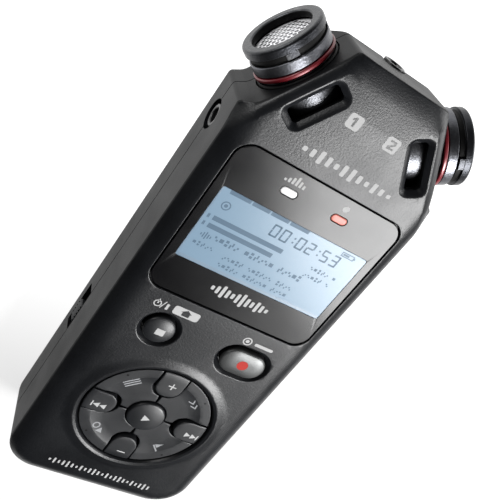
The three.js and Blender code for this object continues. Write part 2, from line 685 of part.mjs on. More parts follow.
class ConeHelix extends THREE.Curve {
  constructor(turns, height, startRadius, endRadius) {
    super();
    Object.assign(this, { turns, height, startRadius, endRadius });
  }

  getPoint(t, target = new THREE.Vector3()) {
    const radius = THREE.MathUtils.lerp(this.startRadius, this.endRadius, t);
    const angle = 2 * Math.PI * this.turns * t;
    return target.set(radius * Math.cos(angle), this.height * t, radius * Math.sin(angle));
  }
}

// Conical coil spring between a cell's flat end and the bay's wall
function contactSpring(side) {
  const wire = 0.35;
  const start = CELL.y + CELL.length + GAP + wire;
  const end = BAY.y1 - GAP - wire;
  const helix = new ConeHelix(2, end - start, 2.2, 4.6);
  const section = new THREE.Shape().absarc(0, 0, wire, 0, 2 * Math.PI);
  const settings = { steps: 24, extrudePath: helix, bevelEnabled: false, curveSegments: 3 };
  return solid(new THREE.ExtrudeGeometry(section, settings).translate(side * CELL.x, start, CELL.z));
}

// ---------- microphones, each turned about +Z with its rim face at height 0 ----------

const outward = (profile) => turned(profile);

// Metal rim with the opening that the grille closes; one tab reaches into the groove below
function rimCap() {
  const rim = outward([
    [6.6, -0.3], [6.6, -1.6], [7.4, -1.6], [7.4, -3.3], [MIC_RADIUS, -3.3], [MIC_RADIUS, -RIM_BEVEL],
    [8.7, -0.25], [8.2, 0], [6.9, 0], [6.6, -0.3],
  ]);
  return rim.add(ringTab(-3.9, -3.2, 8.4, 8.9, 0));
}

// Small block on the rim of a ring, spanning 24 degrees
function ringTab(z0, z1, inner, outer, turn) {
  const wedge = new THREE.Shape();
  wedge.absarc(0, 0, outer, -12 * DEG, 12 * DEG);
  wedge.absarc(0, 0, inner, 12 * DEG, -12 * DEG, true);
  return extrude('z', wedge, z0, z1).rotate([0, 0, turn]);
}

const micGrille = () => outward([[0, -2.3], [7.1, -2.3], [7.1, -1.9], [0, -1.9]]);

function micBarrel() {
  const tube = outward([
    [0, -BARREL_DEPTH], [BARREL_RADIUS - 0.6, -BARREL_DEPTH], [BARREL_RADIUS, -BARREL_DEPTH + 0.6],
    [BARREL_RADIUS, -7.4], [7.9, -7.4], [7.9, -6.15], [8.9, -6.15], [8.9, -4.8], [8.2, -4.7], [8.2, -3.6],
    [5.4, -3.6], [5.4, -12], [0, -12],
  ]);
  return tube.add(ringTab(-4.9, -4.2, 8.1, 8.8, 100));
}

const micCapsule = () => outward([[0, -9.5], [5, -9.5], [5, -4.6], [4.4, -4.3], [0, -4.3]]);

const redRing = () => outward([
  [8.2, -7.05], [8.9, -7.1], [9.1, -6.9], [9.1, -6.6], [8.9, -6.45], [8.2, -6.45], [8.2, -7.05],
]);

const micCollar = () => outward([
  [BARREL_RADIUS + GAP, -COLLAR_DEPTH], [COLLAR_RADIUS, -COLLAR_DEPTH], [COLLAR_RADIUS, -8.2],
  [COLLAR_RADIUS - 0.3, -7.8], [BARREL_RADIUS + GAP, -7.8], [BARREL_RADIUS + GAP, -COLLAR_DEPTH],
]);

// ---------- assembly ----------

const recorder = new THREE.Group();

function addPiece(parent, name, piece, look) {
  const material = new THREE.MeshStandardMaterial({ ...LOOKS[look], flatShading: true });
  const mesh = new THREE.Mesh(geometryOf(piece), material);
  mesh.name = name;
  parent.add(mesh);
}

const add = (name, piece, look) => addPiece(recorder, name, piece, look);

add('front_cover', frontCover(), 'casing');
add('rear_cover', rearCover(), 'casing');
add('display_lens', displayLens(), 'lens');
add('lcd_module', screenModule(), 'screen');
add('peak_lamp', lamp(-1), 'whiteLamp');
add('record_lamp', lamp(1), 'redLamp');

add('stop_key', stopKey(), 'key');
add('record_key', recordKey(), 'recordKey');
add('play_key', playKey(), 'key');
['forward_key', 'plus_key', 'rewind_key', 'minus_key'].forEach((name, k) => add(name, arrowKey(k), 'key'));
add('menu_key', quadrantKey(-1, 1), 'key');
add('quick_key', quadrantKey(1, 1), 'key');
add('mark_key', quadrantKey(1, -1), 'key');
add('playback_key', quadrantKey(-1, -1), 'key');

add('key_mat', keyMat(), 'rubber');
add('main_board', mainBoard(), 'board');
add('speaker', speaker(), 'blackPlastic');
add('tripod_nut', tripodNut(), 'brass');
SCREWS.forEach(([x, y], k) => add(`case_screw_${k + 1}`, caseScrew(x, y), 'steel'));

add('headphone_jack', headphoneJack(), 'blackPlastic');
add('line_in_jack', lineInJack(), 'blackPlastic');
add('card_socket', cardSocket(), 'steel');
add('usb_socket', usbSocket(), 'steel');
add('card_door', cardDoor(), 'casing');
add('hold_slider', holdSlider(), 'key');

add('battery_cover', batteryCover(), 'casing');
add('contact_plate', contactPlate(), 'steel');
for (const [label, side] of [['left', -1], ['right', 1]]) {
  add(`battery_${label}`, batteryCell(side), 'cell');
  add(`contact_spring_${label}`, contactSpring(side), 'steel');

  const microphone = new THREE.Group();
  microphone.position.set(side * MIC_X, MIC_Y, MIC_Z);
  const [axis, up] = [micAxis(side), vector(0, 0, 1)];
  const facing = new THREE.Matrix4().makeBasis(up, axis.clone().cross(up), axis);
  microphone.quaternion.setFromRotationMatrix(facing);
  addPiece(microphone, `mic_rim_${label}`, rimCap(), 'rim');
  addPiece(microphone, `mic_grille_${label}`, micGrille(), 'steel');
  addPiece(microphone, `mic_barrel_${label}`, micBarrel(), 'barrel');
  addPiece(microphone, `mic_capsule_${label}`, micCapsule(), 'steel');
  addPiece(microphone, `mic_ring_${label}`, redRing(), 'redRing');
  addPiece(microphone, `mic_collar_${label}`, micCollar(), 'blackPlastic');
  recorder.add(microphone);
}

recorder.position.y = -OVERALL_LENGTH / 2;
recorder.updateMatrixWorld(true);

export default recorder;
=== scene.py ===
"""Looks for a handheld stereo field recorder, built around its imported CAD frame."""

import json
import math

import bpy
import numpy as np
from mathutils import Matrix, Vector
from mathutils.geometry import delaunay_2d_cdt


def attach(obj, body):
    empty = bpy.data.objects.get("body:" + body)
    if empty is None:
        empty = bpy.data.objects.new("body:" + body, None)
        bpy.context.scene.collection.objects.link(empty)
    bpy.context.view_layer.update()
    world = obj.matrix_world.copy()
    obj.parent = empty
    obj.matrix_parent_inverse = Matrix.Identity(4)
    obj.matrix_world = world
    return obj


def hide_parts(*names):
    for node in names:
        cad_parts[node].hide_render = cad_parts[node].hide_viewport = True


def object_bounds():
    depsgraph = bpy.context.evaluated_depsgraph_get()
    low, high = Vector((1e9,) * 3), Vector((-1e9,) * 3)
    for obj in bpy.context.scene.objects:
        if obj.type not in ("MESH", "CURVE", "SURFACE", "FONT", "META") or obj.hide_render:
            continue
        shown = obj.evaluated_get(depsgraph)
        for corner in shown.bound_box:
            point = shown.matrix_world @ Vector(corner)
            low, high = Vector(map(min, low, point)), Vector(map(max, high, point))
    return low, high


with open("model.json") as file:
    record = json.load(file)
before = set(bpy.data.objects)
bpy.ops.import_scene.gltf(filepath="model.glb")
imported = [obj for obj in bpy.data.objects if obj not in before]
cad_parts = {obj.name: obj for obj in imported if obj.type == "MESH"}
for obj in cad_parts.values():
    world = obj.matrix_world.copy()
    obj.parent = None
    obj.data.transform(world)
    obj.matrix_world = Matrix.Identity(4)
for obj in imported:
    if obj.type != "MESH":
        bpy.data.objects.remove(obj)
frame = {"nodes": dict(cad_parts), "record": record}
CAD_BOX = [list(v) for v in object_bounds()]
TAIL = CAD_BOX[0][1]  # the frame's Y at the tail end
BODY_OF = {n: b for b, nodes in frame["record"]["behaviour"]["bodies"].items() for n in nodes}

# ---------- dimensions, in millimetres with Y measured from the tail ----------

HALF_WIDTH, CASE_LENGTH, FACE_Z, SEAM_Z = 26.8, 140.2, 25.0, 11.0
TAIL_CORNER, SHOULDER_Y, HEAD_LEAN = 9.5, 118.8, 0.035
CROWN_WIDTH, CROWN_DROP, BACK_RADIUS = 6.8, 2.6, 4.3
TAIL_DROP, TAIL_RUN = 2.1, 4.7
HEAD_DROPS = ((0.75, 126, 14), (0.5, 135, 5.2))  # drop, where it starts, how far it runs
NECK_FILLET, WINDOW_DEPTH, WINDOW_BEVEL = 2.3, 1.2, 1.6
MIC_ANGLE = math.radians(31)
MIC = Vector((25.6, 133.7, 13.7))
NECK_SETBACK = 8.1
C31, S31 = math.cos(MIC_ANGLE), math.sin(MIC_ANGLE)
NECK_D = C31 * MIC.x + S31 * MIC.y - NECK_SETBACK
SHOULDER_D = S31 * HALF_WIDTH + C31 * SHOULDER_Y
PAD_Y, PAD_R, PAD_FLANGE_R, PAD_BOWL_R, PAD_HOLE_R, PLAY_R = 32.7, 17.2, 18.4, 18.75, 17.55, 5.1
LIP_R, LIP_WIDTH, LIP_HEIGHT = 18.4, 3.4, 0.68
STOP = (-12.05, 60.8)
RECORD = (12.05, 60.8)
RECORD_HALF = 2.3
CAP_R, CAP_FLANGE_R, CAP_BOWL_R, CAP_HOLE_R = 3.95, 4.95, 5.65, 4.25
KEY_BASE, FLANGE_TOP, FLANGE_BASE = 21.8, 22.1, 21.4
LENS = dict(y=92.7, w=44.8, l=41.2, r=4.0, top=24.7)
LCD = dict(y=91.9, w=40.3, l=20.2, top=24.66)
LAMP_Y, LAMP_X = 107.7, 7
SCREWS = ((-20.3, 7.5), (20.3, 7.5), (-20.8, 116.2), (20.8, 116.2))
TRIPOD_Y, SPEAKER_Y = 78, 98
GAP = 0.3
CREASE = math.radians(35)


# ---------- mesh helpers ----------

def link(name, verts, faces, mats, face_mats=None, body=None, crease=CREASE, matrix=None):
    """Mesh object from millimetre points; every face smooth, with creases above the given angle."""
    v = np.array(verts, float)
    if matrix is not None:
        v = np.array([matrix @ Vector(p) for p in v])
    v = v * 0.001 + [0, TAIL, 0]
    me = bpy.data.meshes.new(name)
    me.from_pydata([tuple(p) for p in v], [], [list(f) for f in faces])
    me.validate()
    for m in mats if isinstance(mats, list) else [mats]:
        me.materials.append(m)
    if face_mats is not None:
        me.polygons.foreach_set("material_index", face_mats)
    ob = bpy.data.objects.new(name, me)
    bpy.context.scene.collection.objects.link(ob)
    me.shade_smooth()
    me.set_sharp_from_angle(angle=crease)
    if body:
        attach(ob, body)
    return ob


def shade_sides(ob, mat):
    """Gives the upright faces of a shell a darker, less glossy copy of the case plastic: painted shade on the
    sides.
    """
    ob.data.materials.append(mat)
    for f in ob.data.polygons:
        f.material_index = 1 if abs(f.normal.z) < 0.4 else 0


def stand_in(ob, node, body="case"):
    """Puts a finished piece on its body in place of one CAD node, which it hides, and gives it weighted
    normals.
    """
    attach(ob, body)
    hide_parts(node)
    m = ob.modifiers.new("normals", "WEIGHTED_NORMAL")
    m.keep_sharp = True
    m.weight = 60


def rounded(corners, step):
    """Closed counter-clockwise outline through (x, y, radius) corners."""
    pts = []
    n = len(corners)
    for i, (x, y, r) in enumerate(corners):
        c = Vector((x, y))
        a = (Vector(corners[i - 1][:2]) - c).normalized()
        b = (Vector(corners[(i + 1) % n][:2]) - c).normalized()
        if r <= 0:
            pts.append(tuple(c))
            continue
        turn = math.pi - a.angle(b)
        mid = (a + b).normalized()
        centre = c + mid * (r / math.cos(turn / 2))
        start = c + a * (r * math.tan(turn / 2)) - centre
        sign = -math.copysign(1, a.x * b.y - a.y * b.x)
        k = max(2, round(math.degrees(turn) / step))
        for j in range(k + 1):
            t = sign * turn * j / k
            pts.append((centre.x + start.x * math.cos(t) - start.y * math.sin(t),
                        centre.y + start.x * math.sin(t) + start.y * math.cos(t)))
    return pts


def rect(x, y, w, h, r, step=10.0):
    """Rectangle about x, y with rounded corners."""
    w, h = w / 2, h / 2
    return rounded([(x - w, y - h, r), (x + w, y - h, r), (x + w, y + h, r), (x - w, y + h, r)], step)


def box(x0, y0, x1, y1, r=0.0):
    """Rectangle between two corners, rounded by r."""
    if r:
        return rect((x0 + x1) / 2, (y0 + y1) / 2, x1 - x0, y1 - y0, r)
    return [(x0, y0), (x1, y0), (x1, y1), (x0, y1)]


def circle(x, y, r, n):
    """Regular outline of n points."""
    return [(x + r * math.cos(2 * math.pi * i / n), y + r * math.sin(2 * math.pi * i / n)) for i in range(n)]


def arc(r, a0, a1, n, x=0.0, y=0.0):
    """Open arc about x, y from angle a0 to angle a1."""
    return [(x + r * math.cos(a), y + r * math.sin(a)) for a in np.linspace(a0, a1, n)]


def obround(x, y, half, r, n=20):
    """Two half circles a distance half to either side of x, joined by straight sides."""
    quarter = math.pi / 2
    return arc(r, -quarter, quarter, n, x + half, y) + arc(r, quarter, 3 * quarter, n, x - half, y)


def turned(loop, angle, x, y):
    """Turns a loop about the origin, then moves it by x, y."""
    c, s = math.cos(angle), math.sin(angle)
    return [(x + c * px - s * py, y + s * px + c * py) for px, py in loop]


def area(loop):
    """Area of a loop, positive when it runs anticlockwise."""
    p = np.array(loop)
    q = np.roll(p, -1, 0)
    return 0.5 * float((p[:, 0] * q[:, 1] - q[:, 0] * p[:, 1]).sum())


def inset(loop, d):
    """Moves a loop towards its own inside by d; negative d grows it."""
    p = np.array(loop)
    e = np.roll(p, -1, 0) - p
    e /= np.linalg.norm(e, axis=1)[:, None]
    n = np.c_[-e[:, 1], e[:, 0]] * (1 if area(loop) > 0 else -1)
    m = n + np.roll(n, 1, 0)
    m /= np.maximum(1 + (n * np.roll(n, 1, 0)).sum(1), 0.25)[:, None]
    return [tuple(v) for v in p + m * d]


def split(loop, size):
    """Divides long edges so that none is longer than size."""
    out = []
    for i, a in enumerate(loop):
        b = loop[(i + 1) % len(loop)]
        k = max(1, int(math.dist(a, b) / size))
        out += [(a[0] + (b[0] - a[0]) * j / k, a[1] + (b[1] - a[1]) * j / k) for j in range(k)]
    return out


def inside(points, loop):
    """Which of the points lie within a closed loop."""
    p, q = np.array(loop), np.roll(np.array(loop), -1, 0)
    res = np.zeros(len(points), bool)
    for (x1, y1), (x2, y2) in zip(p, q):
        if y1 == y2:
            continue
        hit = (y1 > points[:, 1]) != (y2 > points[:, 1])
        cross = (x2 - x1) * (points[:, 1] - y1) / (y2 - y1) + x1
        res ^= hit & (points[:, 0] < cross)
    return res


def distance(points, loop):
    """Distance of each point to a closed polyline."""
    best = np.full(len(points), 1e9)
    p, q = np.array(loop), np.roll(np.array(loop), -1, 0)
    for a, b in zip(p, q):
        d = b - a
        t = np.clip(((points - a) @ d) / max(d @ d, 1e-12), 0, 1)
        best = np.minimum(best, np.linalg.norm(points - a - t[:, None] * d, axis=1))
    return best


def flat_at(z):
    """Height function of a level surface."""
    return lambda p: np.full(len(p), z)


def relief(outer, base, flat, rim, holes=(), features=(), lines=(), steps=4):
    """Closed solid between a plane at height flat and the surface base(points), with rounded rims.
    holes is a list of (loop, rim); features and lines are loops and open lines that the mesh
    follows. Returns verts, faces."""
    loops = [(outer, rim), *holes]
    pts, edges = [], []

    def add(loop, closed=True):
        k = len(pts)
        pts.extend(loop)
        edges.extend((k + i, k + i + 1) for i in range(len(loop) - 1))
        if closed:
            edges.append((k + len(loop) - 1, k))

    for i, (loop, r) in enumerate(loops):
        add(loop)
        for j in range(1, steps + 1 if r > 0 else 1):
            d = r * (1 - math.cos(math.pi / 2 * j / steps))
            add(inset(loop, d if i == 0 else -d))
    for f in features:
        add(f)
    for f in lines:
        add(f, False)
    v, _, tri, *_ = delaunay_2d_cdt([Vector(p) for p in pts], edges, [], 0, 1e-5, False)
    v = np.array([tuple(p) for p in v])
    tri = np.array([list(t) for t in tri])
    mid = v[tri].mean(1)
    keep = inside(mid, outer)
    for h, _ in holes:
        keep &= ~inside(mid, h)
    tri = tri[keep]
    a, b, c = v[tri[:, 0]], v[tri[:, 1]], v[tri[:, 2]]
    size = (b[:, 0] - a[:, 0]) * (c[:, 1] - a[:, 1]) - (b[:, 1] - a[:, 1]) * (c[:, 0] - a[:, 0])
    tri[size < 0] = tri[size < 0][:, ::-1]
    used = np.unique(tri)
    index = np.full(len(v), -1)
    index[used] = np.arange(len(used))
    v, tri = v[used], index[tri]
    z = base(v)
    side = 1 if z.mean() > flat else -1
    for i, (loop, r) in enumerate(loops):
        if r > 0:
            d = distance(v, loop)
            k = d < r
            z[k] -= side * (r - np.sqrt(np.maximum(0, r * r - (r - d[k]) ** 2)))
    n = len(v)
    verts = np.r_[np.c_[v, z], np.c_[v, np.full(n, flat)]]
    sides = dict.fromkeys((t[i], t[(i + 1) % 3]) for t in tri for i in range(3))
    faces = [tuple(t) for t in tri] + [tuple(t[::-1] + n) for t in tri]
    faces += [(p, p + n, q + n, q) for p, q in sides if (q, p) not in sides]
    if side < 0:
        faces = [f[::-1] for f in faces]
    return verts, faces


def lathe(profile, n):
    """Solid of revolution about Z from (radius, height) points; radius 0 closes an end.
    Returns verts, faces."""
    verts, faces, rings = [], [], []
    for r, z in profile:
        if r <= 1e-9:
            rings.append([len(verts)])
            verts.append((0, 0, z))
        else:
            rings.append(list(range(len(verts), len(verts) + n)))
            verts += [(x, y, z) for x, y in circle(0, 0, r, n)]
    closed = profile[0][0] > 1e-9
    pairs = list(zip(rings, rings[1:])) + ([(rings[-1], rings[0])] if closed else [])
    for a, b in pairs:
        for i in range(n):
            j = (i + 1) % n
            f = list(dict.fromkeys((a[i % len(a)], a[j % len(a)], b[j % len(b)], b[i % len(b)])))
            if len(f) > 2:
                faces.append(f)
    return verts, faces


def soft(profile, r):
    """Rounds the corners of an open or closed profile by about r."""
    out, k, n = [], 3, len(profile)
    closed = profile[0][0] > 1e-9
    for i, p in enumerate(profile):
        if (not closed and i in (0, n - 1)) or p[0] <= 1e-9:
            out.append(p)
            continue
        c, a, b = Vector(p), Vector(profile[i - 1]), Vector(profile[(i + 1) % n])
        da, db = (a - c), (b - c)
        t = min(r, da.length * 0.45, db.length * 0.45)
        s, e = c + da.normalized() * t, c + db.normalized() * t
        for j in range(k + 1):
            u = j / k
            q = s * (1 - u) ** 2 + c * 2 * u * (1 - u) + e * u * u
            out.append((max(q.x, 0), q.y))
    return out


def boolean(ob, cutters, op="DIFFERENCE"):
    """Applies boolean cuts or joins, removes the cutters and keeps the object's own materials."""
    for c in cutters:
        m = ob.modifiers.new("cut", "BOOLEAN")
        m.operation, m.solver, m.object = op, "MANIFOLD", c
    dg = bpy.context.evaluated_depsgraph_get()
    me = bpy.data.meshes.new_from_object(ob.evaluated_get(dg))
    old = ob.data
    mats = list(old.materials)
    index = np.empty(len(me.polygons), np.int32)
    me.polygons.foreach_get("material_index", index)
    me.materials.clear()
    for m in mats:
        me.materials.append(m)
    me.polygons.foreach_set("material_index", np.where(index < len(mats), index, 0).astype(np.int32))
    ob.modifiers.clear()
    ob.data = me
    bpy.data.meshes.remove(old)
    for c in cutters:
        bpy.data.objects.remove(c)
    me.shade_smooth()
    me.set_sharp_from_angle(angle=CREASE)


def prism(loop, z0, z1, matrix=None):
    """Plain closed prism of a loop, used as a cutter or as the start of a piece."""
    n = len(loop)
    if area(loop) < 0:
        loop = loop[::-1]
    verts = [(x, y, z) for z in (z0, z1) for x, y in loop]
    faces = [tuple(range(n - 1, -1, -1)), tuple(range(n, 2 * n))]
    faces += [(i, (i + 1) % n, (i + 1) % n + n, i + n) for i in range(n)]
    return link("cutter", verts, faces, [], matrix=matrix)


def basis(x, y, z, at):
    """Matrix with the given axes and origin."""
    m = Matrix((x, y, z)).transposed().to_4x4()
    m.translation = at
    return m


def mic_matrix(side):
    """Local +Z along the microphone's axis, +X up, the rim face at height 0."""
    a = Vector((side * C31, S31, 0))
    up = Vector((0, 0, 1))
    return basis(up, a.cross(up), a, (side * MIC.x, MIC.y, MIC.z))


X_AXIS = basis((0, 1, 0), (0, 0, 1), (1, 0, 0), (0, 0, 0))


def y_basis(x, y, z):
    """Local +Z along +Y, local +X along +X."""
    return basis((1, 0, 0), (0, 0, -1), (0, 1, 0), (x, y, z))


# ---------- materials ----------

def srgb(h):
    """Linear colour of a hex sRGB value."""
    c = [((h >> s) & 255) / 255 for s in (16, 8, 0)]
    return [((x + 0.055) / 1.055) ** 2.4 if x > 0.04 else x / 12.92 for x in c] + [1]


def feed(node, **inputs):
    """Sets a shader node's inputs, or links them to other nodes' outputs; _ stands for a space."""
    for name, value in inputs.items():
        socket = node.inputs[name.replace("_", " ")]
        if isinstance(value, bpy.types.NodeSocket):
            node.id_data.links.new(value, socket)
        else:
            socket.default_value = value


def add_node(tree, kind, **inputs):
    """New shader node with its inputs fed."""
    node = tree.nodes.new("ShaderNode" + kind)
    feed(node, **inputs)
    return node


def surface(name, color, rough, metal=0.0, grain=3500, bump=0.1, depth=2e-5, vary=0.12, rough_vary=0.08,
            wear=0.0, stretch=(1, 1, 1), specular=0.5, coat=0.0, emission=0.0, wear_color=None, mottle=120):
    """Principled material with grain bump, mottled colour and roughness, and worn edges."""
    mat = bpy.data.materials.new(name)
    mat.use_nodes = True
    tree = mat.node_tree
    shader = tree.nodes["Principled BSDF"]
    feed(shader, Metallic=metal, IOR=1.5, Specular_IOR_Level=specular, Coat_Weight=coat, Coat_Roughness=0.1)
    mapping = add_node(tree, "Mapping", Vector=add_node(tree, "TexCoord").outputs["Object"], Scale=stretch)
    place = mapping.outputs["Vector"]
    fine = add_node(tree, "TexNoise", Vector=place, Scale=grain, Detail=3).outputs["Fac"]
    broad = add_node(tree, "TexNoise", Vector=place, Scale=mottle, Detail=4).outputs["Fac"]
    mixed = add_node(tree, "Mix", Factor=0.5, A=fine, B=broad)
    ramp = add_node(tree, "ValToRGB", Fac=mixed.outputs["Result"])
    base = srgb(color)
    low, high = ramp.color_ramp.elements
    low.position, high.position = 0.3, 0.7
    low.color = [c * (1 - vary) for c in base[:3]] + [1]
    high.color = [min(1, c * (1 + vary)) for c in base[:3]] + [1]
    colour = ramp.outputs["Color"]
    if wear:
        edge = add_node(tree, "MapRange", Value=add_node(tree, "NewGeometry").outputs["Pointiness"],
                        From_Min=0.52, From_Max=0.62, To_Max=wear)
        rub = add_node(tree, "Math")
        rub.operation = "MULTIPLY"
        tree.links.new(edge.outputs["Result"], rub.inputs[0])
        tree.links.new(broad, rub.inputs[1])
        worn = add_node(tree, "Mix")
        worn.data_type = "RGBA"
        lighter = [min(1, c * 2.5) for c in base[:3]] + [1]
        feed(worn, Factor=rub.outputs[0], A=colour, B=srgb(wear_color) if wear_color else lighter)
        colour = worn.outputs["Result"]
    roughness = add_node(tree, "MapRange", Value=broad, From_Min=0.3, From_Max=0.7,
                         To_Min=max(0.02, rough - rough_vary), To_Max=min(1, rough + rough_vary))
    bumps = add_node(tree, "Bump", Height=fine, Strength=bump, Distance=depth)
    feed(shader, Base_Color=colour, Roughness=roughness.outputs["Result"], Normal=bumps.outputs["Normal"])
    if emission:
        feed(shader, Emission_Color=colour, Emission_Strength=emission)
    return mat


MOULDED = dict(wear=0.3, vary=0.3, mottle=90, rough_vary=0.04)
GLOSSY = dict(bump=0.02, depth=1e-5)
LAMP = dict(bump=0.05, depth=1e-5)
PRINT = dict(rough=0.75, specular=0.08)
CAST = dict(metal=0.9, bump=1.0, vary=0.3, wear=0.3)
RIM = dict(CAST, grain=2600, rough_vary=0.06)
M_CASE = surface("case_plastic", 0x0e0f11, 0.34, bump=0.9, depth=4e-5, grain=2300, specular=0.2, **MOULDED)
# Darker, less glossy copy of the case plastic for the upright faces: painted shade on the sides
M_SIDE_SHADE = surface("side_plastic_painted_shade", 0x0c0d0e, 0.42, bump=0.8, depth=1.8e-5, grain=4300, specular=0.08,
                 **MOULDED)
M_LENS = surface("lens_gloss", 0x060607, 0.21, vary=0.1, rough_vary=0.02, specular=0.15, **GLOSSY)
M_LCD = surface("lcd_glass", 0x5c7080, 0.25, vary=0.02, rough_vary=0.02, mottle=30, specular=0.2, **GLOSSY)
M_BEZEL = surface("lcd_edge", 0x4d6070, 0.3, vary=0.05, specular=0.4, **GLOSSY)
M_INK = surface("lcd_ink", 0x3b4e5e, 0.4, vary=0.05, specular=0.12, **GLOSSY)
M_LAMP_W = surface("lamp_clear", 0xa6a6a6, 0.3, vary=0.03, emission=0.05, specular=0.3, **LAMP)
M_LAMP_R = surface("lamp_red", 0x9d5a50, 0.35, vary=0.05, specular=0.2, **LAMP)
M_KEY = surface("key_plastic", 0x141517, 0.4, specular=0.3, bump=0.4, depth=3e-5, grain=3600, wear=0.4,
                vary=0.2)
M_RECORD = surface("record_lacquer", 0x393a3a, 0.43, metal=0.6, bump=0.25, grain=5000, vary=0.15, wear=0.3)
M_RED = surface("red_print", 0x852a25, vary=0.06, **PRINT)
M_WHITE = surface("white_print", 0x8c8c8c, bump=0.15, vary=0.04, **PRINT)
M_GREY = surface("grey_print", 0x747577, bump=0.15, vary=0.06, **PRINT)
M_BLACK = surface("black_plastic", 0x070708, 0.35, bump=0.2, vary=0.2, wear=0.3)
M_RIM = surface("rim_metal", 0x37383a, 0.34, depth=6e-5, wear_color=0x909090, **RIM)
# Darker copy of the rim metal for the rim's upright outer wall and its tab: painted shade on the wall
M_SKIRT_SHADE = surface("rim_side_metal_painted_shade", 0x292a2d, 0.36, depth=5e-5, wear_color=0x707070, **RIM)
M_BARREL = surface("barrel_metal", 0x4c4d50, 0.36, depth=6e-5, grain=2200, **CAST)
M_SILVER = surface("ring_metal", 0x55565a, 0.36, metal=1.0, bump=0.9, depth=6e-5, grain=2200, vary=0.3,
                   wear=0.2)
# Near-black, dull finish for the rim's inner wall and the band below it, the barrel's groove, the collar and
# the quadrant key dots: partly these parts' own black, partly painted shade in hollows and dimples
M_SHADE_BLACK = surface("shade_black", 0x030303, 0.55, bump=0.2, vary=0.2, specular=0.12)
M_RING = surface("ring_red", 0x5e1019, 0.35, metal=0.2, bump=0.08, depth=1e-5, vary=0.08, coat=0.1, wear=0.15)
M_MESH = surface("grille_steel", 0xf0f0f2, 0.4, metal=0.65, bump=0.3, grain=5000)
M_FELT = surface("capsule_felt", 0x030303, 0.95, bump=0.6, depth=5e-5, grain=2500, vary=0.3, specular=0.05)
M_STEEL = surface("plated_steel", 0xb0b1b3, 0.28, metal=1.0, bump=0.2, depth=1e-5, vary=0.1,
                  stretch=(1, 6, 1))
M_BRASS = surface("brass", 0xb8975a, 0.3, metal=1.0, bump=0.2, depth=1e-5)
M_RUBBER = surface("mat_rubber", 0x121212, 0.75, bump=0.4, depth=4e-5, vary=0.2)
M_BOARD = surface("solder_mask", 0x1c4c2e, 0.4, bump=0.3, depth=3e-5, vary=0.2, coat=0.4)
M_CELL = surface("cell_sleeve", 0x3a5c86, 0.3, metal=0.3, vary=0.1, coat=0.5)

# ---------- case ----------

def case_outline(d=0.0):
    """The case seen from the front, anticlockwise, d inside its faces."""
    face, shoulder, w = NECK_D - d, SHOULDER_D - d, HALF_WIDTH - d
    det = C31 * C31 - S31 * S31
    right = [
        (w, d, max(0.5, TAIL_CORNER - d)),
        (w, (shoulder - S31 * w) / C31, 1.4),
        ((C31 * face - S31 * shoulder) / det, (C31 * shoulder - S31 * face) / det, 4.0),
        ((face - S31 * (CASE_LENGTH - d)) / C31, CASE_LENGTH - d, 1.6),
    ]
    left = [(-x, y, r) for x, y, r in reversed(right)]
    return rounded(right + left, 5)


OUTLINE = split(case_outline(), 2.5)


def bowl(r, far, lead, steep):
    """Depth of a dish around a key: a gentle bevel of width lead, then a steeper wall."""
    d = np.clip(far - r, 0, 1.6)
    return 0.4 * np.minimum(d, lead) + steep * np.maximum(0, d - lead)


def along_neck(p):
    """How far each point lies along the nearer microphone's axis."""
    return C31 * np.abs(p[:, 0]) + S31 * p[:, 1]


def pad_radius(p):
    """Distance from the middle of the pad."""
    return np.hypot(p[:, 0], p[:, 1] - PAD_Y)


def stop_distance(p):
    """Distance from the middle of the stop key."""
    return np.hypot(p[:, 0] - STOP[0], p[:, 1] - STOP[1])


def record_distance(p):
    """Distance from the spine of the record key."""
    return np.hypot(np.maximum(0, np.abs(p[:, 0] - RECORD[0]) - RECORD_HALF), p[:, 1] - RECORD[1])


def window_loop(side, grow=0.0):
    """Slot in the face through which a microphone's barrel shows."""
    loop = rect(0, 0, 3.8 + 2 * grow, 11.6 + 2 * grow, 0.9 + grow)
    return turned(loop, side * MIC_ANGLE, side * (MIC.x - C31 * 13.6), MIC.y - S31 * 13.6 + 0.2)


WINDOWS = [window_loop(-1), window_loop(1)]
SEAT = rect(0, LENS["y"], LENS["w"] + 2 * GAP, LENS["l"] + 2 * GAP, LENS["r"] + GAP, 6)


